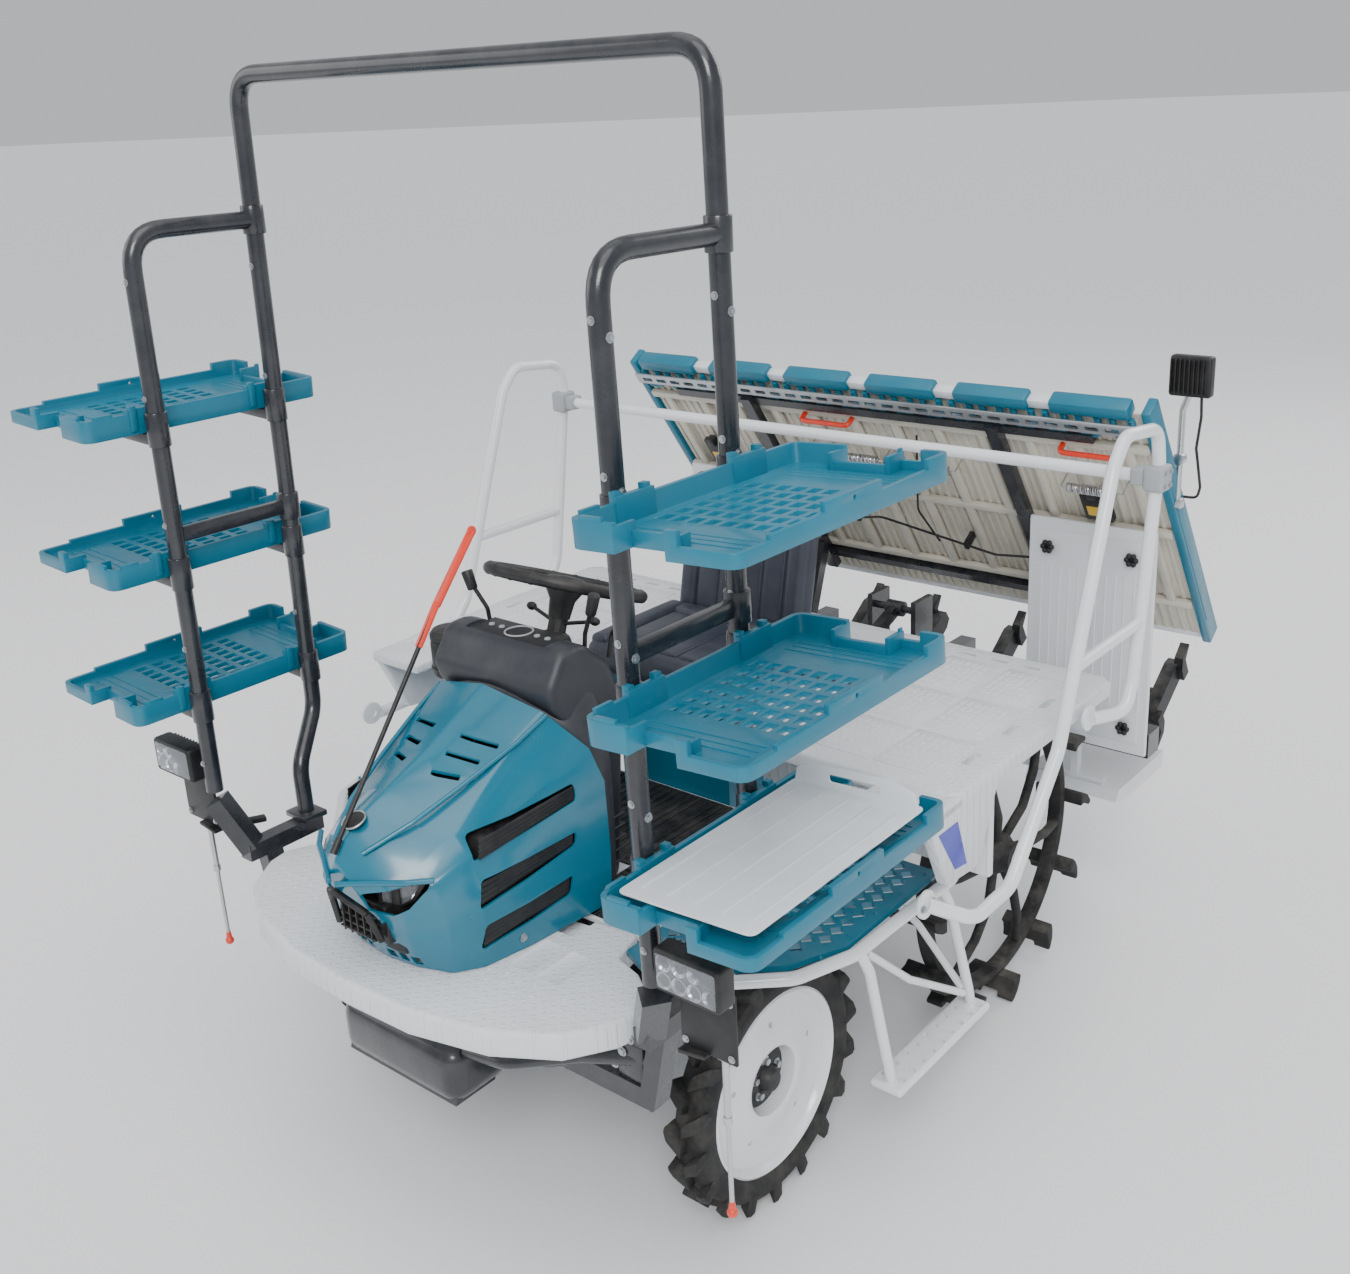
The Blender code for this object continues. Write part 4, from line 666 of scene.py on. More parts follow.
def slope_block(x, along, out, soft=0.004):
    """A block laid on the slope between limits across it, up it and out from it."""
    made = block(x, along, out, soft)
    up = (SLOPE_HIGH - SLOPE_LOW).normalized()
    away = Vector((0, -up.z, up.y))
    turn = Matrix(((1, 0, 0), (0, up.y, away.y), (0, up.z, away.z))).to_4x4()
    return moved(made, Matrix.Translation(SLOPE_LOW) @ turn)


def bolt(place, normal, radius=0.008, height=0.006):
    """A hexagon head on its washer."""
    place, normal = Vector(place), Vector(normal).normalized()
    washer = bar(place, place + normal * height * 0.3, radius * 1.5, 20)
    head = bar(place + normal * height * 0.25, place + normal * height, radius, 6)
    return joined([washer, head])


# ------------------------------------------------------------------ trays
def tray_shell(sizes):
    """A moulded tray in its own frame: across from its inner wall, back from the front, up from its base."""
    wide, long = sizes.tray_width, sizes.tray_length
    wall, floor, tall = 0.012, 0.012, 0.052
    corners = [(0.0, 0.0), (wide, 0.0), (wide, long), (0.0, long)]
    rim = [tuple(p.xy) for p in filleted([(wide / 2, 0, 0)] + [(x, y, 0) for x, y in corners[1:]]
                                         + [(0, 0, 0), (wide / 2, 0, 0)], 0.030, 5)][:-1]
    shell = plate(rim, "Z", 0.0, tall)
    only(shell)
    bpy.ops.object.mode_set(mode="EDIT")
    bpy.ops.mesh.select_mode(type="FACE")
    bpy.ops.mesh.select_all(action="DESELECT")
    bpy.ops.object.mode_set(mode="OBJECT")
    top = max(shell.data.polygons, key=lambda face: face.center.z)
    top.select = True
    bpy.ops.object.mode_set(mode="EDIT")
    bpy.ops.mesh.inset(thickness=wall)
    bpy.ops.mesh.extrude_region_move(TRANSFORM_OT_translate={"value": (0, 0, floor - tall)})
    bpy.ops.mesh.select_mode(type="VERT")
    bpy.ops.object.mode_set(mode="OBJECT")

    cuts = []
    columns, rows = 8, 6
    for row in range(rows):
        v = 0.175 + row * 0.050
        for column in range(columns):
            u = 0.038 + column * (wide - 0.076) / columns
            cuts.append(block((u, u + 0.024), (v, v + 0.034), (-0.01, floor + 0.004)))
    for v in (0.070, 0.092, 0.114, long - 0.114, long - 0.092, long - 0.070):
        cuts.append(block((0.045, wide - 0.045), (v, v + 0.005), (floor - 0.0025, floor + 0.004)))
    cuts.append(block((0.105, 0.215), (-0.02, 0.046), (-0.02, 0.09)))
    cuts.append(block((0.130, 0.250), (long - 0.046, long + 0.02), (-0.02, 0.09)))
    cuts.append(block((wide - 0.120, wide + 0.02), (-0.02, 0.090), (0.026, 0.09)))
    cuts.append(block((wide - 0.020, wide + 0.02), (0.085, 0.240), (0.034, 0.09)))
    cuts.append(block((wide - 0.020, wide + 0.02), (0.410, long - 0.080), (0.034, 0.09)))
    cuts.append(block((0.255, 0.300), (long - 0.020, long + 0.02), (0.030, 0.09)))
    cuts.append(bar((wide - 0.03, 0.325, 0.040), (wide + 0.03, 0.325, 0.040), 0.0045, 12))
    shell = carved(shell, cuts)
    # Raised edges round the notches stop short of the shell's own faces.
    rims = [block((0.096, 0.1065), (0.0015, 0.0565), (0.001, 0.046)),
            block((0.2135, 0.224), (0.0015, 0.0565), (0.001, 0.036)),
            block((0.097, 0.223), (0.0445, 0.0555), (0.0015, 0.030)),
            block((0.121, 0.1315), (long - 0.0565, long - 0.0015), (0.001, 0.046)),
            block((0.2485, 0.259), (long - 0.0565, long - 0.0015), (0.001, 0.046)),
            block((0.122, 0.258), (long - 0.0555, long - 0.0445), (0.0015, 0.030)),
            block((0.030, 0.080), (0.0010, 0.0110), (0.020, 0.059)),
            block((0.0010, 0.0110), (0.030, 0.075), (0.020, 0.059))]
    for post_v in (0.161, 0.487):
        rims.append(block((0.0010, 0.0155), (post_v - 0.050, post_v + 0.050), (0.001, 0.062)))
        rims.append(block((-0.006, 0.010), (post_v + 0.030, post_v + 0.046), (0.010, 0.070)))
        rims.append(block((-0.006, 0.010), (post_v - 0.046, post_v - 0.030), (0.010, 0.070)))
    return rounded_off(joined([shell] + rims), 0.0022, 2, 40)


def tray_place(height):
    return (Matrix.Translation((0.7735, -0.681, height)) @ Matrix.Rotation(radians(-3.3), 4, "Y"))


class PieceOperator:
    bl_options = {"REGISTER", "UNDO"}

    @classmethod
    def poll(cls, context):
        return context.scene is not None


class OBJECT_OT_transplanter_trays(PieceOperator, bpy.types.Operator):
    """Six seedling trays on the two racks"""
    bl_idname = "object.transplanter_trays"
    bl_label = "Seedling trays"

    def execute(self, context):
        shell = tray_shell(context.scene.transplanter_sizes)
        for level, height in TRAY_HEIGHTS.items():
            tray = another(shell, tray_place(height))
            finished_pair(tray, f"{level}_tray", "teal_tray", "chassis", ())
            for side in ("left", "right"):
                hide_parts(f"tray_{level}_{side}")
        bpy.data.objects.remove(shell, do_unlink=True)
        return {"FINISHED"}


class OBJECT_OT_transplanter_scoop(PieceOperator, bpy.types.Operator):
    """The white scoop plate that lies in the low left tray"""
    bl_idname = "object.transplanter_scoop"
    bl_label = "Scoop plate"

    def execute(self, context):
        rim = [tuple(p.xy) for p in filleted([(0.18, 0.025, 0), (0.345, 0.025, 0), (0.345, 0.590, 0),
                                              (0.030, 0.590, 0),
                                              (0.030, 0.025, 0), (0.18, 0.025, 0)], 0.020, 5)][:-1]
        flat = plate(rim, "Z", 0.054, 0.058, 0.0015)
        lip = carved(plate([(0.036, 0.055), (0.339, 0.055), (0.330, 0.088), (0.285, 0.108), (0.090, 0.108),
                            (0.045, 0.088)],
                           "Y", 0.572, 0.577, 0.0015),
                     [block((0.125, 0.250), (0.56, 0.60), (0.072, 0.090), 0.006)])
        ribs = [block((0.060 + i * 0.062, 0.068 + i * 0.062), (0.060, 0.540), (0.057, 0.0605), 0.0015)
                for i in range(5)]
        plate_made = moved(joined([flat, lip] + ribs), tray_place(TRAY_HEIGHTS["low"]))
        finished(plate_made, "scoop", "white_shell", "chassis", ["scoop_plate"])
        return {"FINISHED"}


# ------------------------------------------------------------------ hood
def hood_skin():
    """The hood's outer skin from its rows of points, its front edge filled; the hood operator thickens and
    rounds it.
    """
    across = 2 * len(HOOD_ROWS[0]) - 1
    clear()
    bpy.ops.mesh.primitive_grid_add(x_subdivisions=across - 1, y_subdivisions=len(HOOD_ROWS) - 1, size=1)
    skin = bpy.context.object
    for r, half in enumerate(HOOD_ROWS):
        points = [(-x, y, z) for x, y, z in half[:-1]] + [half[-1]] + list(reversed(half[:-1]))
        for c, point in enumerate(points):
            skin.data.vertices[r * across + c].co = point
    front = [vert.index for vert in skin.data.vertices][-across:]
    bpy.ops.object.mode_set(mode="EDIT")
    bpy.ops.mesh.select_mode(type="VERT")
    bpy.ops.mesh.select_all(action="DESELECT")
    bpy.ops.object.mode_set(mode="OBJECT")
    for index in front:
        skin.data.vertices[index].select = True
    bpy.ops.object.mode_set(mode="EDIT")
    bpy.ops.mesh.edge_face_add()
    bpy.ops.mesh.select_all(action="SELECT")
    bpy.ops.mesh.normals_make_consistent(inside=False)
    bpy.ops.object.mode_set(mode="OBJECT")
    return skin


class OBJECT_OT_transplanter_hood(PieceOperator, bpy.types.Operator):
    """The hood shell with its side vents, lamps, grille and louvres"""
    bl_idname = "object.transplanter_hood"
    bl_label = "Hood"

    def execute(self, context):
        skin = hood_skin()
        with_modifier(skin, "BEVEL", width=0.020, segments=3, limit_method="ANGLE", angle_limit=radians(20),
                      use_clamp_overlap=True)
        with_modifier(skin, "SOLIDIFY", thickness=0.006, offset=-1.0)
        cuts = [plate(vent, "X", 0.18, 0.32, 0.010, 3) for vent in SIDE_VENTS]
        cuts = both_sides(cuts)
        cuts += both_sides([self.lamp_opening()])
        cuts.append(plate(symmetric([(0, .930), (.050, .930), (.062, .910), (.075, .860), (.070, .838),
                                     (0, .838)])[1:],
                          "Y", -0.72, -0.60, 0.004))
        cuts += both_sides([block((0.026 + i * 0.036, 0.050 + i * 0.036), (-0.70, -0.56), (0.772, 0.796),
                                  0.004)
                            for i in range(3)])
        for i, half in enumerate((0.052, 0.044, 0.036)):
            louvre = flat_bar((0.045, -0.352 - i * 0.048, 1.18),
                              (0.045 + half * 1.8, -0.325 - i * 0.048, 1.18), 0.012, 0.28)
            cuts += both_sides([louvre])
        shell = rounded_off(carved(skin, cuts), 0.0015, 1, 55)
        finished(shell, "hood_shell", "teal_shell", "hood", ["hood"], smooth=28)
        self.inner_parts()
        return {"FINISHED"}

    def lamp_opening(self):
        eye = [(.052, .974), (.180, 1.004), (.182, .990), (.150, .944), (.112, .922), (.052, .926)]
        return plate(eye, "Y", -0.74, -0.55, 0.006, 3)

    def inner_parts(self):
        liner = [block((-0.215, 0.215), (-0.47, -0.165), (0.79, 1.060), 0.02),
                 block((-0.190, 0.190), (-0.550, -0.44), (0.79, 0.98), 0.02),
                 block((-0.110, 0.110), (-0.625, -0.52), (0.80, 1.00), 0.02),
                 block((-0.14, 0.14), (-0.46, -0.20), (1.03, 1.105), 0.02)]
        finished(joined(liner), "hood_liner", "black_plastic", "hood", ())
        fins = []
        for vent in SIDE_VENTS:
            for t in (0.2, 0.4, 0.6, 0.8):
                front = Vector(vent[0]).lerp(Vector(vent[1]), t)
                rear = Vector(vent[3]).lerp(Vector(vent[2]), t)
                fins.append(flat_bar((0.226, front.x + 0.006, front.y), (0.258, rear.x - 0.006, rear.y),
                                     0.005, 0.012,
                                     0.0015))
        finished_pair(joined(fins), "vent_fins", "black_plastic", "hood", ())
        bezel = [(.058, .970), (.174, .999), (.176, .990), (.148, .948), (.112, .926), (.058, .930)]
        frame_piece = carved(plate(bezel, "Y", -0.655, -0.600, 0.003), [
            plate([(.066, .966), (.160, .990), (.140, .952), (.110, .934), (.066, .936)], "Y", -0.67, -0.612,
                  0.003)])
        turn = Matrix.Translation((.058, -.640, 0)) @ Matrix.Rotation(radians(24), 4,
                                                                      "Z") @ Matrix.Translation(
            (-.058, .655, 0))
        finished_pair(moved(frame_piece, turn), "lamp_bezel", "black_plastic", "hood")
        bowls = [spun([(0.001, 0.0), (0.0215, 0.016), (0.0230, 0.016), (0.0230, 0.019), (0.001, 0.004)],
                      (x, 0, 0), "Y", 32) for x in (0.088, 0.130)]
        bowl = moved(joined([moved(b, Matrix.Diagonal((1, -1, 1, 1))) for b in bowls]),
                     Matrix.Translation((0, -0.6235, 0.953)))
        finished_pair(moved(bowl, turn), "lamp_bowls", "mirror_bowl", "hood")
        cover = plate([(.062, .968), (.168, .994), (.145, .950), (.111, .930), (.062, .933)], "Y", -0.652,
                      -0.649, 0.001)
        finished_pair(moved(cover, turn), "lamp_cover", "clear_lens", "hood")
        brows = both_sides([pipe([(.012, -.712, 1.000), (.085, -.668, 1.006), (.150, -.632, 1.010),
                                  (.196, -.592, 1.012)],
                                 0.0065, 0.03, 14)])
        ridges = both_sides([pipe([(.050, -.660, 1.062), (.105, -.560, 1.110), (.140, -.440, 1.160),
                                   (.172, -.300, 1.216),
                                   (.182, -.212, 1.254)], 0.0055, 0.08, 14)])
        finished(joined(brows + ridges), "hood_ridges", "teal_shell", "hood", (), smooth=60)
        vee = both_sides([flat_bar((.004, -.716, .985), (.060, -.676, .925), 0.016, 0.014, 0.004),
                          flat_bar((.060, -.676, .925), (.074, -.656, .850), 0.014, 0.014, 0.004)])
        finished(joined(vee), "grille_vee", "black_plastic", "hood", ())
        slats = [flat_bar((-0.062, -0.658 + 0.002 * i, 0.850 + i * 0.018),
                          (0.062, -0.658 + 0.002 * i, 0.850 + i * 0.018),
                          0.012, 0.004, 0.001) for i in range(5)]
        slats += [block((x - 0.002, x + 0.002), (-0.664, -0.650), (0.842, 0.928), 0.001)
                  for x in (-0.048, -0.024, 0, 0.024, 0.048)]
        back = block((-0.085, 0.085), (-0.646, -0.610), (0.838, 0.935), 0.004)
        finished(joined(slats + [back]), "grille", "black_plastic", "hood", ["grille_panel"])
        normal = Vector((0, -0.36, 0.93)).normalized()
        seat_point = Vector((0, -0.634, 1.116))
        disc = bar(seat_point - normal * 0.004, seat_point + normal * 0.003, 0.026, 40, soft=0.002)
        finished(disc, "badge_disc", "black_plastic", "hood")
        finished(ring(seat_point + normal * 0.003, normal, 0.0265, 0.0025), "badge_ring", "steel", "hood")
        lugs = [bolt((0.268, -0.150, 0.800), (1, 0, 0), 0.007),
                bolt((0.246, -0.400, 0.790), (1, 0, 0), 0.007)]
        finished_pair(joined(lugs), "hood_bolts", "zinc", "hood")


# ------------------------------------------------------------------ wheels
def front_tyre(sizes):
    mid, rim, outer = 0.616, 0.237, 0.325
    base = outer - sizes.lug_height
    half = 0.048
    profile = [(rim, -half + 0.012), (rim + 0.012, -half + 0.004), (rim + 0.035, -half),
               (base - 0.016, -half + 0.002),
               (base - 0.004, -half + 0.010), (base, -half + 0.024), (base + 0.001, 0.0),
               (base, half - 0.024),
               (base - 0.004, half - 0.010), (base - 0.016, half - 0.002), (rim + 0.035, half),
               (rim + 0.012, half - 0.004),
               (rim, half - 0.012)]
    tyre = spun(profile, (mid, 0, 0.325), "X", 96)
    hub = Matrix.Translation((mid, 0, 0.325))
    lug = plate([(0.002, -0.024), (0.044, 0.006), (0.050, 0.030), (0.046, 0.046), (0.006, 0.014), (0.0, 0.0)],
                "Z",
                base - 0.030, outer - 0.001, 0.003)
    lugs = []
    for i in range(sizes.lugs):
        angle = 2 * pi * i / sizes.lugs
        lugs.append(another(lug, hub @ Matrix.Rotation(angle, 4, "X")))
        half_step = angle + pi / sizes.lugs
        lugs.append(another(lug, hub @ Matrix.Rotation(half_step, 4, "X") @ Matrix.Diagonal((-1, 1, 1, 1))))
    bpy.data.objects.remove(lug, do_unlink=True)
    return joined([tyre] + lugs)


def front_disc():
    profile = [(0.232, -0.036), (0.238, -0.034), (0.238, 0.036), (0.232, 0.040), (0.224, 0.032),
               (0.218, 0.016),
               (0.200, 0.010), (0.150, 0.020), (0.112, 0.026), (0.098, 0.028), (0.088, 0.024), (0.083, 0.004),
               (0.080, -0.012), (0.001, -0.012), (0.001, -0.020), (0.200, -0.012), (0.226, -0.026)]
    disc = spun(profile, (0.616, 0, 0.325), "X", 80)
    holes = []
    for i in range(5):
        a = 2 * pi * i / 5 + 0.3
        y, z = cos(a) * 0.155, sin(a) * 0.155
        holes.append(bar((0.58, y, 0.325 + z), (0.68, y, 0.325 + z), 0.0075, 16))
    return carved(disc, holes)


class OBJECT_OT_transplanter_front_wheels(PieceOperator, bpy.types.Operator):
    """Narrow lugged front tyres on white discs with black hubs"""
    bl_idname = "object.transplanter_front_wheels"
    bl_label = "Front wheels"

    def execute(self, context):
        bodies = ("front_wheel_left", "front_wheel_right")
        finished_pair(front_tyre(context.scene.transplanter_sizes), "lugged_tyre", "rubber", bodies,
                      ["front_tyre"])
        finished_pair(front_disc(), "wheel_disc", "white_tube", bodies, ["front_disc"])
        centre = (0.616, 0, 0.325)
        hub = spun([(0.001, -0.030), (0.0795, -0.030), (0.0795, -0.010), (0.060, -0.006), (0.034, 0.002),
                    (0.030, 0.020),
                    (0.024, 0.028), (0.001, 0.030)], centre, "X", 48)
        nuts = [bolt((0.612, cos(a) * 0.046, 0.325 + sin(a) * 0.046), (1, 0, 0), 0.009, 0.014)
                for a in (0.3 + i * 2 * pi / 5 for i in range(5))]
        finished_pair(hub, "wheel_hub", "black_plastic", bodies)
        finished_pair(joined(nuts), "wheel_nuts", "zinc", bodies)
        return {"FINISHED"}


class OBJECT_OT_transplanter_rear_wheels(PieceOperator, bpy.types.Operator):
    """Tall paddy wheels with thin rims, spokes and curved rubber paddles"""
    bl_idname = "object.transplanter_rear_wheels"
    bl_label = "Rear wheels"

    def execute(self, context):
        count = context.scene.transplanter_sizes.paddles
        hub = Matrix.Translation(REAR_AXLE)
        rim = spun([(0.380, -0.020), (0.392, -0.026), (0.406, -0.022), (0.410, 0.0), (0.406, 0.022),
                    (0.392, 0.026),
                    (0.380, 0.020), (0.376, 0.0)], REAR_AXLE, "X", 96)
        parts = [rim]
        for i in range(6):
            spin = hub @ Matrix.Rotation(2 * pi * i / 6 + 0.35, 4, "X")
            spoke = pipe([(0.012, 0, 0.050), (0.034, 0, 0.150), (0.030, 0, 0.260), (0.004, 0, 0.385)], 0.014,
                         0.05, 14)
            parts.append(moved(spoke, spin))
        parts.append(spun([(0.001, -0.060), (0.052, -0.060), (0.062, -0.050), (0.062, 0.020), (0.046, 0.040),
                           (0.040, 0.062), (0.001, 0.062)], REAR_AXLE, "X", 40))
        finished_pair(joined(parts), "paddy_wheel", "rubber", ("rear_wheel_left", "rear_wheel_right"),
                      ["rear_wheel"])
        paddles = []
        curve = [(0.404, -0.036), (0.428, -0.030), (0.452, -0.016), (0.470, 0.006), (0.4735, 0.018),
                 (0.462, 0.024),
                 (0.446, 0.012), (0.424, 0.004), (0.404, 0.006)]
        shape = plate([(y, z) for z, y in curve], "X", -0.078, 0.078, 0.004, 2)
        shape = carved(shape, [block((-0.030, 0.030), (-0.06, 0.06), (0.452, 0.50), 0.006)])
        for i in range(count):
            paddles.append(another(shape, hub @ Matrix.Rotation(2 * pi * i / count, 4, "X")))
        bpy.data.objects.remove(shape, do_unlink=True)
        finished_pair(joined(paddles), "paddles", "rubber", ("rear_wheel_left", "rear_wheel_right"), ())
        nuts = [bolt(REAR_AXLE + Vector((0.040, cos(a) * 0.030, sin(a) * 0.030)), (1, 0, 0), 0.008, 0.010)
                for a in (i * 2 * pi / 5 for i in range(5))]
        cap = knob(REAR_AXLE + Vector((0.062, 0, 0)), 0.016, (0.5, 1, 1))
        finished_pair(joined(nuts + [cap]), "rear_nuts", "zinc", ("rear_wheel_left", "rear_wheel_right"))
        return {"FINISHED"}


# ------------------------------------------------------------------ racks and rails
class OBJECT_OT_transplanter_racks(PieceOperator, bpy.types.Operator):
    """The bent tube racks that carry the trays"""
    bl_idname = "object.transplanter_racks"
    bl_label = "Tray racks"

    def execute(self, context):
        radius = context.scene.transplanter_sizes.rack_tube
        half = [(0.690, -0.304, 0.782), (0.690, -0.304, 0.930), (post_x(1.05), post_y(1.05), 1.05),
                (post_x(2.67), post_y(2.67), 2.67)]
        loop = half + [(-x, y, z) for x, y, z in reversed(half)]
        parts = [pipe(loop, radius, 0.085, 24, 8)]
        parts += both_sides(self.bearers(post_y(1.5)))
        feet = [flat_bar((0.690, -0.304, 0.784), (0.690, -0.304, 0.800), 0.090, 0.070)]
        finished(joined(parts + both_sides(feet)), "rack_loop", "rack_paint", "chassis", ["rack_hoop"])
        side = [(post_x(0.93), FRONT_POST_Y, 0.932), (post_x(2.33), FRONT_POST_Y, 2.340),
                (post_x(2.33), post_y(2.33), 2.340)]
        parts = [pipe(side, radius, 0.090, 24, 8),
                 flat_bar((post_x(1.62), FRONT_POST_Y, 1.620), (post_x(1.62), post_y(1.62), 1.620), 0.022,
                          0.036)]
        for z in (1.62, 2.34):
            place = Vector((post_x(z), post_y(z), z))
            parts.append(bar(place - Vector((0, 0, 0.034)), place + Vector((0, 0, 0.034)), radius + 0.006, 24,
                             soft=0.003))
        parts += self.bearers(FRONT_POST_Y)
        finished_pair(joined(parts), "rack_frame", "rack_paint", "chassis", ())
        for name in ("left", "right"):
            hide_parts(f"rack_side_{name}")
        pins = []
        for z in (0.985, 1.30, 1.62, 1.93, 2.20):
            for y in (FRONT_POST_Y, post_y(z)):
                pins.append(bolt((post_x(z) + radius * 0.96, y, z), (1, 0, 0), 0.0065, 0.006))
                pins.append(bolt((post_x(z), y - radius * 0.96, z + 0.03), (0, -1, 0), 0.0055, 0.005))
        finished_pair(joined(pins), "rack_bolts", "zinc", "chassis")
        return {"FINISHED"}

    def bearers(self, y):
        """The flat arms under each tray and the clips that hold the tray to a post."""
        parts = []
        for height in TRAY_HEIGHTS.values():
            x = post_x(height)
            rise = tan(radians(3.3))
            start, end = Vector((x, y, height - 0.018)), Vector((1.010, y,
                                                                 height - 0.018 + (1.010 - 0.7735) * rise))
            parts.append(flat_bar(start, end, 0.026, 0.026))
            parts.append(bar((x, y, height - 0.030), (x, y, height + 0.052), 0.0262, 24, soft=0.002))
        return parts


class OBJECT_OT_transplanter_rails(PieceOperator, bpy.types.Operator):
    """White guard rails beside the deck, with the crossbar behind the seat"""
    bl_idname = "object.transplanter_rails"
    bl_label = "Guard rails"

    def execute(self, context):
        radius = context.scene.transplanter_sizes.rail_tube
        x = 1.050
        path = [(.975, .150, .850), (x, .230, .800), (x, .400, .800), (x, .630, 1.060), (x, .870, 1.700),
                (x, .930, 1.770),
                (x, 1.130, 1.750), (x, 1.150, 1.660), (x, 1.055, 1.090), (x, 1.020, 1.020),
                (1.00, .930, 1.020)]
        parts = [pipe(path, radius, 0.070, 20, 7), pipe([(x, .705, 1.250), (x, 1.080, 1.250)], radius * 0.9,
                                                        None, 20)]
        for place in ((.972, .150, .850), (.990, .930, 1.020)):
            parts.append(bar((place[0] - 0.006, place[1], place[2]), (place[0] + 0.004, place[1], place[2]),
                             0.034, 28,
                             soft=0.002))
        finished_pair(joined(parts), "guard_rail", "white_tube", "chassis", ["handrail"])
        cross = pipe([(-1.030, 1.143, 1.620), (1.030, 1.143, 1.620)], radius, None, 20)
        finished(cross, "rail_crossbar", "white_tube", "chassis", ["handrail_crossbar"])
        clamp = joined([block((1.022, 1.078), (1.112, 1.176), (1.586, 1.654), 0.010, 3),
                        block((0.985, 1.024), (1.120, 1.168), (1.597, 1.643), 0.007, 3)])
        finished_pair(clamp, "rail_clamp", "grey_plastic", "chassis")
        screws = [bolt((1.078, 1.128 + 0.030 * i, 1.602 + 0.036 * j), (1, 0, 0), 0.0055, 0.005)
                  for i in range(2) for j in range(2)]
        screws += [bolt((0.978, .150 + d, .850), (1, 0, 0), 0.006) for d in (-0.022, 0.022)]
        finished_pair(joined(screws), "rail_screws", "zinc", "chassis")
        return {"FINISHED"}


class OBJECT_OT_transplanter_steps(PieceOperator, bpy.types.Operator):
    """Lattice side steps, their tube frames and the hanging stirrups"""
    bl_idname = "object.transplanter_steps"
    bl_label = "Side steps"

    def execute(self, context):
        radius = context.scene.transplanter_sizes.step_tube
        rim = [(.433, -.262), (.530, -.300), (.770, -.100), (.832, .040), (.832, .440), (.433, .440)]
        floor = plate(rim, "Z", 0.7365, 0.7515)
        cuts = []
        for row in range(-1, 16):
            for column in range(10):
                u, v = 0.474 + column * 0.0380, -0.230 + row * 0.0440 + 0.022 * (column % 2)
                outer = min(0.804, 0.488 + (v + 0.300) * 1.05)
                if u + 0.016 < outer and -0.240 < v < 0.412:
                    cuts.append(bar((u, v, 0.72), (u, v, 0.77), 0.0195, 4))
        floor = rounded_off(carved(floor, cuts), 0.0018, 1, 50)
        grips = []
        for row in range(5):
            for column in range(4):
                grips.append(bar((0.500 + column * 0.104, -0.030 + row * 0.112 - 0.006, 0.7505),
                                 (0.500 + column * 0.104, -0.030 + row * 0.112 - 0.006, 0.756), 0.005, 12,
                                 0.003))
        finished_pair(joined([floor] + grips), "step_lattice", "teal_shell", "chassis", ["side_step"])
        z = STEP_TUBE_Z
        parts = [pipe([(.575, -.300, z), (.795, -.110, z), (.850, .040, z), (.862, .470, z), (.790, .560, z),
                       (.600, .560, z)], radius, 0.080, 18, 8)]
        for top, foot in ((.060, .140), (.420, .520)):
            parts.append(pipe([(.852, top, z), (.866, top + 0.02, z - 0.06), (.883, foot - 0.01, .400),
                               (.886, foot, .345)],
                              radius * 0.82, 0.06, 16))
        parts += [pipe([(.600, .560, z), (.455, .560, z)], radius * 0.8, None, 14),
                  pipe([(.575, -.300, z), (.470, -.255, z)], radius * 0.8, None, 14)]
        parts += [pipe([(.852, .090, z - .02), (.868, .250, .560), (.884, .480, .400)], radius * 0.6, 0.05,
                       12),
                  pipe([(.600, .420, z - .01), (.760, .470, .560), (.870, .500, .400)], radius * 0.6, 0.05,
                       12)]
        stirrup = block((.842, .929), (.112, .548), (.329, .352), 0.008, 3)
        dimples = [bar((.862 + i * 0.047, .150 + j * 0.046, .340), (.862 + i * 0.047, .150 + j * 0.046, .36),
                       0.009, 16)
                   for i in range(2) for j in range(9)]
        parts.append(carved(stirrup, dimples))
        finished_pair(joined(parts), "step_tubes", "white_tube", "chassis", ["step_frame"])
        return {"FINISHED"}


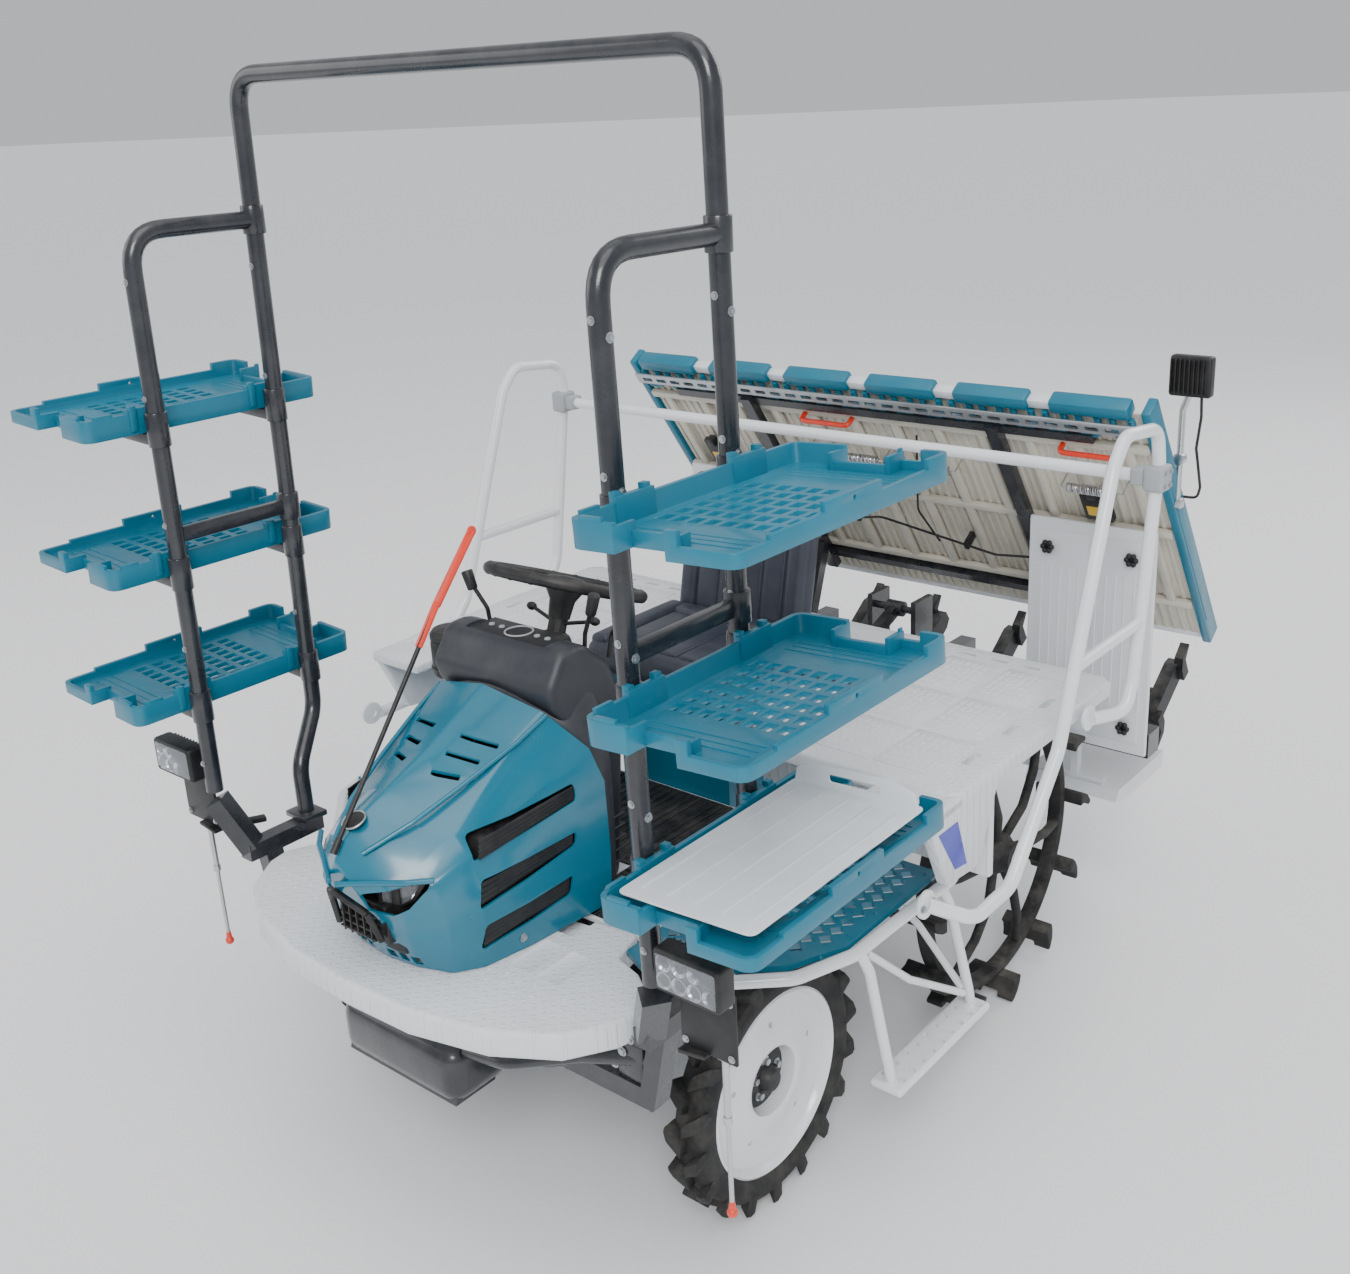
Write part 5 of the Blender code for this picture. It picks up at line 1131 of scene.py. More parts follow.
# ------------------------------------------------------------------ body shells
class OBJECT_OT_transplanter_deck(PieceOperator, bpy.types.Operator):
    """The white rear deck with its raised pads, slots, skirts and side flash"""
    bl_idname = "object.transplanter_deck"
    bl_label = "Rear deck"

    def execute(self, context):
        slab_rim = [(-.270, .300), (-.270, .830), (.270, .830), (.270, .300), (.940, .300), (.965, .330),
                    (.965, 1.120),
                    (.935, 1.150), (-.935, 1.150), (-.965, 1.120), (-.965, .330), (-.940, .300)]
        slab = plate(slab_rim, "Z", DECK_TOP - 0.045, DECK_TOP, 0.010, 3)
        cuts = both_sides([block((0.420 + i * 0.10, 0.470 + i * 0.10), (1.085, 1.100), (0.98, 1.06), 0.004)
                           for i in range(4)] + [block((0.880, 0.900), (0.46 + i * 0.2, 0.53 + i * 0.2),
                                                       (1.03, 1.06), 0.004)
                                                 for i in range(3)])
        slab = carved(slab, cuts)
        pads = []
        for i in range(3):
            for j in range(3):
                pads.append(block((0.325 + i * 0.185, 0.490 + i * 0.185),
                                  (0.360 + j * 0.240, 0.575 + j * 0.240),
                                  (DECK_TOP - 0.004, DECK_TOP + 0.0035), 0.003, 2))
        skirt = plate([(.171, 1.040), (.262, .838), (.410, .822), (.505, 1.030), (.300, 1.046)], "X", .930,
                      .9645, 0.008, 3)
        top = block((.760, .9645), (.172, .330), (1.012, 1.0445), 0.009, 3)
        riser = block((.272, .955), (.474, .496), (.7565, 1.030), 0.004)
        finished(joined([slab] + both_sides(pads + [skirt, top, riser])), "deck_shell", "white_tread",
                 "chassis",
                 ["rear_deck"])
        grips = [block((0.335 + i * 0.185 + 0.020 * k, 0.345 + i * 0.185 + 0.020 * k),
                       (0.380 + j * 0.240 + 0.036 * m, 0.404 + j * 0.240 + 0.036 * m),
                       (DECK_TOP + 0.002, DECK_TOP + 0.0060), 0.0015, 1)
                 for i in range(3) for j in range(3) for k in range(7) for m in range(5)]
        finished_pair(joined(grips), "deck_grips", "white_shell", "chassis", ())
        flash = plate([(.215, .990), (.290, .870), (.345, .862), (.300, .990)], "X", .9645, .9660, 0.0004, 1)
        finished_pair(flash, "deck_flash", "decal_blue", "chassis")
        return {"FINISHED"}


class OBJECT_OT_transplanter_floor(PieceOperator, bpy.types.Operator):
    """The front apron, the footwell floor and its rubber mat"""
    bl_idname = "object.transplanter_floor"
    bl_label = "Apron and floor"

    def execute(self, context):
        rim = symmetric(APRON_HALF)[1:]
        body = plate(rim, "Z", 0.690, 0.7575, 0.012, 4)
        wells = both_sides([block((0.255 + i * 0.085, 0.325 + i * 0.085), (-0.46, -0.34), (0.752, 0.78),
                                  0.006)
                            for i in range(2)])
        body = carved(body, wells + [block((-0.30, 0.30), (-0.30, -0.15), (0.735, 0.80))])
        finished(body, "apron", "white_tread", "chassis", ["front_apron"])
        studs = [bar((x, y, 0.756), (x, y, 0.7598), 0.006, 12, 0.004)
                 for i in range(8) for x, y in [(0.235 + 0.044 * i, -0.500 + 0.014 * (i % 2))]]
        studs += [bar((x, y, 0.756), (x, y, 0.7598), 0.006, 12, 0.004)
                  for i in range(7) for x, y in [(0.257 + 0.044 * i, -0.530 + 0.012 * (i % 2))] if x < 0.50]
        finished_pair(joined(studs), "apron_studs", "white_shell", "chassis", ())
        guard = both_sides([pipe([(.200, -.560, .560), (.330, -.560, .585), (.470, -.470, .610),
                                  (.640, -.430, .650)],
                                 0.016, 0.08, 16),
                            pipe([(.200, -.500, .520), (.360, -.470, .545), (.560, -.380, .600)], 0.013, 0.08,
                                 16),
                            block((.560, .640), (-.450, -.370), (.585, .690), 0.010, 3)])
        bumper = block((-.205, .205), (-.612, -.430), (.425, .575), 0.045, 5)
        finished(joined(guard + [bumper]), "front_guard", "rack_paint", "chassis", ())
        nuts = both_sides([bolt((.642, -.395 - .030 * i, .610 + .045 * j), (1, 0, 0), 0.008)
                           for i in range(2) for j in range(2)] +
                          [bolt((.560 + .025 * i, -.452, .620 + .04 * i), (0, -1, 0), 0.008)
                           for i in range(3)])
        finished(joined(nuts), "front_guard_nuts", "zinc", "chassis")
        nose = pipe([(-.520, -.560, .700), (-.400, -.650, .700), (-.200, -.696, .700), (.200, -.696, .700),
                     (.400, -.650, .700), (.520, -.560, .700)], 0.012, 0.10, 16)
        finished(nose, "apron_bar", "rack_paint", "chassis")
        base = block((-0.429, 0.429), (-0.197, 0.437), (0.7325, 0.7470), 0.003)
        finished(base, "floor_pan", "white_shell", "chassis", ["foot_floor"])
        mats = []
        for low, high in ((-0.415, -0.215), (0.215, 0.415), (-0.205, 0.205)):
            front = 0.035 if low == -0.205 else -0.190
            mats.append(block((low, high), (front, 0.425), (0.7465, 0.7520), 0.0025))
            count = int((high - low) / 0.026)
            for i in range(count):
                x = low + 0.018 + i * 0.026
                mats.append(block((x - 0.005, x + 0.005), (front + 0.015, 0.410), (0.7510, 0.7555), 0.002, 1))
        finished(joined(mats), "floor_mat", "black_mat", "chassis", ())
        pedal = joined([block((0.255, 0.330), (-0.120, -0.030), (0.800, 0.812), 0.004),
                        flat_bar((0.292, -0.075, 0.752), (0.292, -0.078, 0.803), 0.014, 0.010)]
                       + [block((0.262, 0.323), (-0.108 + i * 0.020, -0.098 + i * 0.020), (0.811, 0.815),
                                0.0015, 1)
                          for i in range(4)])
        other = another(pedal, Matrix.Translation((-0.585, 0, 0)))
        finished(joined([pedal, other]), "pedals", "black_plastic", "chassis", ())
        return {"FINISHED"}


class OBJECT_OT_transplanter_dash(PieceOperator, bpy.types.Operator):
    """The dash cowl with its gauge panel, levers and canister, and the steering wheel"""
    bl_idname = "object.transplanter_dash"
    bl_label = "Dash and steering"

    def execute(self, context):
        side = [(-.122, .7540), (-.020, .7540), (.010, 1.0), (.030, 1.23), (-.010, 1.33), (-.09, 1.3945),
                (-.165, 1.3945),
                (-.220, 1.31), (-.205, 1.268), (-.142, 1.17), (-.122, 1.08)]
        cowl = plate(side, "X", -.2045, .2045, 0.026, 4)
        cowl = carved(cowl, [block((-0.135, 0.135), (-0.155, -0.060), (1.386, 1.42), 0.006, 2),
                             plate([(0.0, 0.80), (0.05, 0.80), (0.05, 1.16), (0.018, 1.16)], "X", -.15, .15,
                                   0.006)])
        self.shoulder()
        ribs = [block((-0.207, 0.207), (-0.122, 0.0), (0.800 + i * 0.030, 0.806 + i * 0.030), 0.002, 1)
                for i in range(5)]
        finished(joined([cowl] + ribs), "dash_shell", "dash_plastic", "chassis", ["dash_cowl"])
        panel = block((-0.128, 0.128), (-0.150, -0.064), (1.3855, 1.3890), 0.001)
        finished(panel, "gauge_glass", "black_plastic", "chassis")
        keys = [bar((x, -0.105, 1.388), (x, -0.105, 1.3920), 0.008, 24, 0.007)
                for x in (-0.095, -0.060, 0.060, 0.095)]
        keys += [ring((0, -0.106, 1.390), (0, 0, 1), 0.034, 0.0025, 40, 8)]
        finished(joined(keys), "gauge_keys", "grey_plastic", "chassis")
        levers = []
        for x, y, rise, lean in ((0.165, -0.060, 0.150, 0.05), (0.188, 0.0, 0.120, 0.07),
                                 (-0.170, -0.040, 0.130, -0.05)):
            foot = Vector((x, y, 1.33))
            tip = foot + Vector((lean, -0.012, rise))
            levers.append(pipe([foot, foot + Vector((lean * 0.2, 0, rise * 0.5)), tip], 0.0055, 0.03, 12))
            levers.append(bar(tip - Vector((lean, 0, rise)).normalized() * 0.020,
                              tip + Vector((lean, 0, rise)) * 0.22,
                              0.013, 20, 0.015, soft=0.004))
        finished(joined(levers), "dash_levers", "black_plastic", "chassis", ())
        can = spun([(0.001, 0.0), (0.046, 0.0), (0.050, 0.006), (0.050, 0.086), (0.047, 0.092),
                    (0.050, 0.096),
                    (0.050, 0.108), (0.042, 0.118), (0.001, 0.120)], (-0.232, -0.125, 1.240), "Z", 48)
        bracket = [flat_bar((-0.232, -0.125, 1.235), (-0.150, -0.080, 1.235), 0.020, 0.008),
                   ring((-0.232, -0.125, 1.262), (0, 0, 1), 0.050, 0.003, 40, 8)]
        finished(joined([can] + bracket), "canister", "black_plastic", "chassis", ())
        axis = Vector((0, -sin(WHEEL_RAKE), -cos(WHEEL_RAKE)))
        collars = [spun([(0.026, -0.030), (0.060, -0.030), (0.052, -0.016), (0.046, -0.002), (0.042, 0.010),
                         (0.034, 0.022),
                         (0.026, 0.026)], (0, 0, 0), "Z", 48)]
        gaiter = moved(collars[0], Matrix.Translation(WHEEL_CENTRE + axis * 0.150)
                       @ Matrix.Rotation(-WHEEL_RAKE, 4, "X"))
        stalk = WHEEL_CENTRE + axis * 0.105
        stalks = [bar(stalk, stalk + Vector((sign * 0.105, 0.020, 0.020)), 0.0050, 14) for sign in (-1, 1)]
        stalks += [knob(stalk + Vector((sign * 0.108, 0.020, 0.021)), 0.011, (1.4, 1, 1), 16, 10)
                   for sign in (-1, 1)]
        finished(joined([gaiter] + stalks), "column_gaiter", "black_plastic", "chassis", ())
        self.wheel()
        return {"FINISHED"}

    def shoulder(self):
        """The dark slope that fills the step from the hood's rear edge up to the dash."""
        half_rows = [[(.262, -.125, .770), (.268, -.125, .90), (.264, -.125, 1.08), (.243, -.146, 1.160),
                      (.170, -.210, 1.254), (0, -.230, 1.291)],
                     [(.262, -.100, .770), (.266, -.098, .92), (.262, -.090, 1.12), (.244, -.100, 1.215),
                      (.175, -.150, 1.310), (0, -.170, 1.345)],
                     [(.215, -.070, .780), (.218, -.060, .94), (.214, -.050, 1.16), (.206, -.060, 1.270),
                      (.160, -.110, 1.362), (0, -.140, 1.388)]]
        across = 2 * len(half_rows[0]) - 1
        clear()
        bpy.ops.mesh.primitive_grid_add(x_subdivisions=across - 1, y_subdivisions=len(half_rows) - 1, size=1)
        skin = bpy.context.object
        for r, half in enumerate(half_rows):
            for c, point in enumerate([(-x, y, z) for x, y, z in half[:-1]] + [half[-1]]
                                      + list(reversed(half[:-1]))):
                skin.data.vertices[r * across + c].co = point
        only(skin)
        bpy.ops.object.mode_set(mode="EDIT")
        bpy.ops.mesh.select_all(action="SELECT")
        bpy.ops.mesh.normals_make_consistent(inside=False)
        bpy.ops.object.mode_set(mode="OBJECT")
        with_modifier(skin, "SOLIDIFY", thickness=0.006, offset=0.0)
        with_modifier(skin, "SUBSURF", levels=2, render_levels=2)
        finished(skin, "dash_shoulder", "dash_plastic", "chassis", ())

    def wheel(self):
        tilt = Matrix.Translation(WHEEL_CENTRE) @ Matrix.Rotation(-WHEEL_RAKE, 4, "X")
        parts = [moved(ring((0, 0, 0), (0, 0, 1), 0.1895, 0.0150, 80, 18), tilt)]
        bumps = [moved(knob((0.1895 * cos(a), 0.1895 * sin(a), 0), 0.0165, (0.9, 0.9, 1.0), 12, 8), tilt)
                 for a in (2 * pi * i / 20 for i in range(20)) if abs(sin(a)) > 0.35]
        for a in (radians(90), radians(-30), radians(210)):
            spoke = plate([(0.030, -0.020), (0.110, -0.012), (0.182, -0.017), (0.182, 0.017), (0.110, 0.012),
                           (0.030, 0.020)], "Z", -0.006, 0.003, 0.003)
            spoke = moved(spoke, Matrix.Translation((0, 0, -0.010)) @ Matrix.Rotation(a, 4, "Z"))
            parts.append(moved(spoke, tilt))
        hub = spun([(0.001, -0.090), (0.027, -0.090), (0.032, -0.046), (0.052, -0.012), (0.052, 0.004),
                    (0.042, 0.012),
                    (0.001, 0.016)], (0, 0, 0), "Z", 48)
        parts.append(moved(hub, tilt))
        finished(joined(parts + bumps), "hand_wheel", "black_plastic", "steering_wheel", ["steering_wheel"])


# ------------------------------------------------------------------ seat
class OBJECT_OT_transplanter_seat(PieceOperator, bpy.types.Operator):
    """The padded driver's seat with its lap strap and hinges"""
    bl_idname = "object.transplanter_seat"
    bl_label = "Seat"

    def execute(self, context):
        cushion = self.pad((-.232, .232), (.332, .728), (1.088, 1.182), 0.052)
        finished(cushion, "seat_pad", "seat_vinyl", "chassis", ["seat_cushion"], smooth=60)
        back = self.pad((-.221, .221), (-.235, .235), (-.040, .030), 0.045)
        lean = Matrix.Translation((0, .792, 1.322)) @ Matrix.Rotation(radians(78), 4, "X")
        finished(moved(back, lean), "seat_backrest", "seat_vinyl", "chassis", ["seat_back"],
                 smooth=60)
        strap = pipe([(0.236, 0.640, 1.100), (0.240, 0.640, 1.200), (0.225, 0.560, 1.215),
                      (0.210, 0.500, 1.200)], 0.008,
                     0.03, 10)
        strap = with_modifier(strap, "BEVEL", width=0.001, segments=1)
        buckle = block((0.205, 0.250), (0.625, 0.655), (1.080, 1.130), 0.006)
        finished(joined([strap, buckle]), "lap_strap", "black_plastic", "chassis", ())
        hinge = both_sides([block((0.205, 0.222), (0.700, 0.790), (1.040, 1.150), 0.006),
                            block((0.150, 0.200), (0.735, 0.760), (1.060, 1.140), 0.004)])
        finished(joined(hinge), "seat_hinges", "cast_metal", "chassis")
        return {"FINISHED"}

    def pad(self, x, y, z, bolster):
        """A rounded cushion with side bolsters, a raised centre panel and a seam between them."""
        def swollen(x, y, z, soft):
            made = block(x, y, z, soft, 4)
            return with_modifier(made, "SUBSURF", levels=1, render_levels=1)

        base = swollen(x, y, z, 0.034)
        top = z[1]
        sides = both_sides([swollen((x[1] - bolster - 0.020, x[1] - 0.006), (y[0] + 0.020, y[1] - 0.020),
                                    (top - 0.040, top + 0.014), 0.020)])
        rear = swollen((x[0] + bolster, x[1] - bolster), (y[1] - 0.085, y[1] - 0.012),
                       (top - 0.030, top + 0.010), 0.018)
        across = x[1] - x[0] - 2 * bolster - 0.044
        flutes = [swollen((-across / 2 + i * across / 4 + 0.0015,
                           -across / 2 + (i + 1) * across / 4 - 0.0015),
                          (y[0] + 0.035, y[1] - 0.092), (top - 0.030, top + 0.006), 0.010) for i in range(4)]
        return joined([base, rear] + sides + flutes)


# ------------------------------------------------------------------ seedling platform and linkage
class OBJECT_OT_transplanter_platform(PieceOperator, bpy.types.Operator):
    """The sloping seedling platform: corrugated sheet, ribs, top rail, caps, handles, springs and latches"""
    bl_idname = "object.transplanter_platform"
    bl_label = "Seedling platform"

    def execute(self, context):
        body = "seedling_platform"
        sheet = slope_block((-.908, .908), (0.005, SLOPE_LENGTH - 0.012), (-0.0120, -0.0055), 0.002)
        folds = [slope_block((-.900 + i * 0.0300, -.885 + i * 0.0300), (0.015, SLOPE_LENGTH - 0.030),
                             (-0.0075, -0.0006),
                             0.003) for i in range(61)]
        finished(joined([sheet] + folds), "platform_sheet", "cream_sheet", body, ())
        ribs = [slope_block((-0.842 + i * 0.1531 - 0.014, -0.842 + i * 0.1531 + 0.014), (0.165, 0.885),
                            (-0.001, 0.017), 0.004)
                for i in range(12)]
        cross = [slope_block((-.905, .905), (t, t + 0.026), (-0.001, 0.0185), 0.004)
                 for t in (0.165, 0.500, 0.860)]
        finished(joined(ribs + cross), "platform_ribs", "cream_sheet", body, ())
        loops = []
        for i in range(18):
            x = -0.850 + i * 0.100
            ends = [on_slope(x - 0.028, 0.995, 0.014), on_slope(x - 0.028, 0.925, 0.0165),
                    on_slope(x + 0.028, 0.925, 0.0165), on_slope(x + 0.028, 0.995, 0.014)]
            loops.append(pipe(ends, 0.0100, 0.026, 12))
        sides = both_sides([slope_block((.906, .9345), (-0.012, SLOPE_LENGTH + 0.008), (-0.055, 0.0115),
                                        0.006),
                            slope_block((.934, .9365), (0.10, SLOPE_LENGTH - 0.10), (-0.045, 0.002), 0.001)])
        finished(joined(loops + sides), "platform_hooks", "teal_tray", body, [body])
        lanes = [slope_block((-.906 + i * 0.3 + 0.001, -.894 + i * 0.3 - 0.001),
                             (0.010, SLOPE_LENGTH - 0.035), (-0.050, -0.009),
                             0.004) for i in range(7)]
        lanes.append(slope_block((-.900, .900), (-0.014, 0.014), (-0.030, -0.004), 0.005))
        lanes += [slope_block((-.880 + i * 0.3 + j * 0.052, -.852 + i * 0.3 + j * 0.052), (0.120, 0.300),
                              (-0.0150, -0.010), 0.002)
                  for i in range(6) for j in range(5)]
        finished(joined(lanes), "platform_lanes", "white_shell", body, ())
        belts = []
        for i in range(6):
            for x in (-0.810 + i * 0.3, -0.690 + i * 0.3):
                belts.append(slope_block((x - 0.022, x + 0.022), (0.050, 0.330), (-0.0165, -0.010), 0.002))
                belts += [slope_block((x - 0.024, x + 0.024), (0.058 + k * 0.030, 0.064 + k * 0.030),
                                      (-0.0215, -0.015), 0.002)
                          for k in range(9)]
        finished(joined(belts), "platform_belts", "rubber", body, ())
        rail = slope_block((-.900, .900), (SLOPE_LENGTH - 0.056, SLOPE_LENGTH - 0.014), (0.036, 0.044), 0.003)
        slots = [slope_block((-.87 + i * 0.060, -.83 + i * 0.060),
                             (SLOPE_LENGTH - 0.043, SLOPE_LENGTH - 0.028), (0.0, 0.06),
                             0.003) for i in range(30)]
        finished(carved(rail, slots), "platform_rail", "zinc", body, ())
        caps = [slope_block((x - 0.118, x + 0.118), (SLOPE_LENGTH - 0.015, SLOPE_LENGTH + 0.030),
                            (-0.028, 0.024), 0.009)
                for x in (-0.760 + i * 0.304 for i in range(6))]
        finished(joined(caps), "platform_caps", "teal_tray", body, ())
        gaps = [slope_block((-0.608 + i * 0.304 - 0.038, -0.608 + i * 0.304 + 0.038),
                            (SLOPE_LENGTH - 0.013, SLOPE_LENGTH + 0.018), (-0.020, 0.012), 0.006)
                for i in range(5)]
        finished(joined(gaps), "platform_gaps", "white_shell", body, ())
        handles = []
        for x in (-0.16, 0.74):
            ends = [on_slope(x - 0.09, 0.872, 0.015), on_slope(x - 0.09, 0.872, 0.052),
                    on_slope(x + 0.09, 0.872, 0.052),
                    on_slope(x + 0.09, 0.872, 0.015)]
            handles.append(pipe(ends, 0.0085, 0.018, 12))
        finished(joined(handles), "platform_handles", "marker_red", body, ())
        springs = [coil(on_slope(low, 0.74, 0.068), on_slope(high, 0.74, 0.068), 0.013, 0.0024, turns)
                   for low, high, turns in ((-0.25, 0.0, 36), (0.06, 0.26, 30), (0.65, 0.80, 20))]
        hooks = [pipe([on_slope(a, 0.74, 0.010), on_slope(a, 0.74, 0.068), on_slope(b, 0.74, 0.068)], 0.0026,
                      None, 8)
                 for a, b in ((-0.27, -0.25), (0.02, 0.0), (0.04, 0.06), (0.28, 0.26), (0.63, 0.65),
                              (0.82, 0.80))]
        finished(joined(springs + hooks), "platform_springs", "steel", body, ())
        latches, labels = [], []
        for x in (-0.72, 0.02, 0.70):
            latches.append(slope_block((x - 0.045, x + 0.045), (0.560, 0.680), (0.012, 0.036), 0.006))
            latches.append(slope_block((x - 0.014, x + 0.014), (0.665, 0.700), (0.020, 0.048), 0.005))
            labels.append(slope_block((x - 0.030, x + 0.030), (0.585, 0.625), (0.0345, 0.0372), 0.0005))
        finished(joined(latches), "platform_latches", "black_plastic", body, ())
        finished(joined(labels), "platform_labels", "decal_yellow", body)
        wires = [pipe([on_slope(-0.84, 0.42, 0.062), on_slope(-0.50, 0.34, 0.064),
                       on_slope(-0.10, 0.44, 0.062),
                       on_slope(0.30, 0.34, 0.064), on_slope(0.84, 0.42, 0.062)], 0.004, 0.08, 10),
                 pipe([on_slope(0.10, 0.36, 0.062), on_slope(0.06, 0.50, 0.055), on_slope(0.16, 0.84, 0.030)],
                      0.0035, 0.08, 10)]
        clips = [slope_block((x - 0.008, x + 0.008), (a - 0.014, a + 0.014), (0.010, 0.069), 0.003)
                 for x, a in ((-0.80, 0.410), (-0.20, 0.415), (0.20, 0.36), (0.80, 0.410))]
        finished(joined(wires + clips), "platform_wires", "black_plastic", body, ())
        return {"FINISHED"}


class OBJECT_OT_transplanter_linkage(PieceOperator, bpy.types.Operator):
    """Pins, a hose, star knobs and the cover panel on the lift and the planting unit"""
    bl_idname = "object.transplanter_linkage"
    bl_label = "Lift and planting details"

    def execute(self, context):
        pins = both_sides([bolt((0.066, 1.140, 0.500), (1, 0, 0), 0.014, 0.010)])
        finished(joined(pins), "link_pins_front", "zinc", "chassis")
        pins = both_sides([bolt((0.066, 1.580, 0.660), (1, 0, 0), 0.014, 0.010)])
        finished(joined(pins), "link_pins_rear", "zinc", "lift_lower_link")
        panel = [block((.471, .879), (1.5975, 1.6125), (.612, 1.328), 0.006, 3)]
        panel += [block((low, low + 0.165), (1.5935, 1.5990), (.650, 1.290), 0.004) for low in (.500, .685)]
        panel += [block((.515 + i * .030, .521 + i * .030), (1.5915, 1.5950), (.760, 1.180), 0.0015, 1)
                  for i in range(12) if i != 5]
        finished_pair(joined(panel), "cover_shell", "white_shell", "planting_unit", ["cover_panel"])
        knobs = []
        for z in (0.700, 1.240):
            for x in (0.540, 0.810):
                knobs.append(bar((x, 1.596, z), (x, 1.582, z), 0.010, 20))
                for i in range(6):
                    a = i * pi / 3
                    knobs.append(knob((x + cos(a) * 0.014, 1.580, z + sin(a) * 0.014), 0.009, (1, 0.9, 1), 12,
                                      8))
        finished_pair(joined(knobs), "panel_knobs", "black_plastic", "planting_unit")
        hose = [pipe([(0.075, 1.10, 0.62), (0.10, 1.16, 0.70), (0.09, 1.14, 0.82), (0.06, 1.12, 0.90)], 0.008,
                     0.05, 12)]
        finished(joined(hose), "lift_hose", "rubber", "chassis")
        return {"FINISHED"}


# ------------------------------------------------------------------ lamps and markers
class OBJECT_OT_transplanter_lamps(PieceOperator, bpy.types.Operator):
    """Front work lamps and the rear work light"""
    bl_idname = "object.transplanter_lamps"
    bl_label = "Work lamps"

    def execute(self, context):
        head = block((.788, .952), (-.560, -.506), (.953, 1.047), 0.010, 3)
        head = carved(head, [block((.796, .944), (-.58, -.552), (.961, 1.039), 0.006, 2)])
        fins = [block((.795 + i * 0.014, .799 + i * 0.014), (-.508, -.498), (.960, 1.040), 0.001, 1)
                for i in range(11)]
        plate_made = block((.800, .940), (-.500, -.492), (.800, .960), 0.003)
        arm = flat_bar((.870, -.490, .800), (.800, -.490, .790), 0.050, 0.010)
        arms = [flat_bar((.818, -.482, .790), (.776, -.375, .782), 0.026, 0.014)]
        finished_pair(joined([head, plate_made, arm] + fins + arms), "lamp_head", "black_plastic", "chassis",
                      ["work_lamp"])
        bowls, emitters = [], []
        for i in range(4):
            for j in range(2):
                x, z = .815 + i * 0.037, .981 + j * 0.038
                bowls.append(spun([(0.003, 0.010), (0.0165, -0.004), (0.0180, -0.004), (0.0180, 0.012)],
                                  (x, -.552, z), "Y", 24))
                emitters.append(knob((x, -.546, z), 0.0042, (1, 0.6, 1), 12, 8))
        finished_pair(joined(bowls), "lamp_reflectors", "mirror_bowl", "chassis")
        finished_pair(joined(emitters), "lamp_emitters", "decal_yellow", "chassis")
        glass = block((.797, .943), (-.5595, -.5570), (.962, 1.038), 0.001)
        finished_pair(glass, "lamp_glass", "clear_lens", "chassis")
        screws = [bolt((.812 + i * 0.116, -.500, .815 + j * 0.125), (0, -1, 0), 0.0055, 0.005)
                  for i in range(2) for j in range(2)]
        finished_pair(joined(screws), "lamp_screws", "zinc", "chassis")
        rear = [block((.906, 1.024), (1.541, 1.578), (1.746, 1.859), 0.008, 3)]
        rear += [block((.912 + i * 0.013, .916 + i * 0.013), (1.530, 1.545), (1.756, 1.850), 0.001, 1)
                 for i in range(8)]
        finished(joined(rear), "rear_lamp_head", "black_plastic", "seedling_platform", ["rear_work_lamp"])
        pole = joined([pipe([(.935, 1.585, 1.425), (.935, 1.585, 1.700), (.958, 1.572, 1.752)], 0.0095, 0.03,
                            18),
                       bar((.935, 1.572, 1.560), (.935, 1.598, 1.560), 0.018, 24, soft=0.003),
                       block((.918, .952), (1.572, 1.600), (1.418, 1.446), 0.004)])
        finished(pole, "rear_lamp_pole", "steel", "seedling_platform", ())
        glass = block((.912, 1.018), (1.5775, 1.5800), (1.752, 1.853), 0.001)
        finished(glass, "rear_lamp_glass", "clear_lens", "seedling_platform")
        return {"FINISHED"}


class OBJECT_OT_transplanter_markers(PieceOperator, bpy.types.Operator):
    """Side marker rods with red tips and the folding centre marker"""
    bl_idname = "object.transplanter_markers"
    bl_label = "Markers"

    def execute(self, context):
        x, y = .890, -.475
        rod = joined([bar((x, y, .838), (x, y, .640), 0.0075, 18),
                      bar((x, y, .645), (x, y, .430), 0.0052, 16),
                      bar((x, y, .650), (x, y, .630), 0.0095, 20, soft=0.002),
                      bar((x - 0.012, y, .790), (x + 0.012, y, .790), 0.010, 20)])
        finished_pair(rod, "marker_rod", "steel", ("side_marker_left", "side_marker_right"), ["side_marker"])
        tip = joined([knob((x, y, .411), 0.0118, (1, 1, 1), 20, 14),
                      bar((x, y, .418), (x, y, .438), 0.0085, 18, 0.006)])
        finished_pair(tip, "marker_tip", "marker_red", ("side_marker_left", "side_marker_right"), ())
        foot, bend, top = (0, -.6991, 1.0642), (-.020, -.345, 1.500), (-.025, -.200, 1.660)
        elbow = Vector(bend).lerp(Vector(top), 0.10)
        wand = joined([pipe([foot, Vector(foot).lerp(Vector(elbow), 0.5), elbow], 0.0056, 0.05, 16),
                       bar(foot, Vector(foot).lerp(Vector(bend), 0.06), 0.0085, 18)])
        finished(wand, "centre_rod", "black_plastic", "centre_marker", ["centre_marker"])
        heel = Vector(foot).lerp(Vector(bend), 0.86)
        flag = joined([flat_bar(heel, elbow + Vector((0, 0.006, 0.010)), 0.020, 0.008, 0.003),
                       flat_bar(elbow, Vector(top), 0.024, 0.008, 0.003),
                       bar(Vector(top) + Vector((-0.004, 0, 0)), Vector(top) + Vector((0.004, 0, 0)), 0.012,
                           24, soft=0.002)])
        finished(flag, "centre_flag", "marker_red", "centre_marker", ())
        return {"FINISHED"}


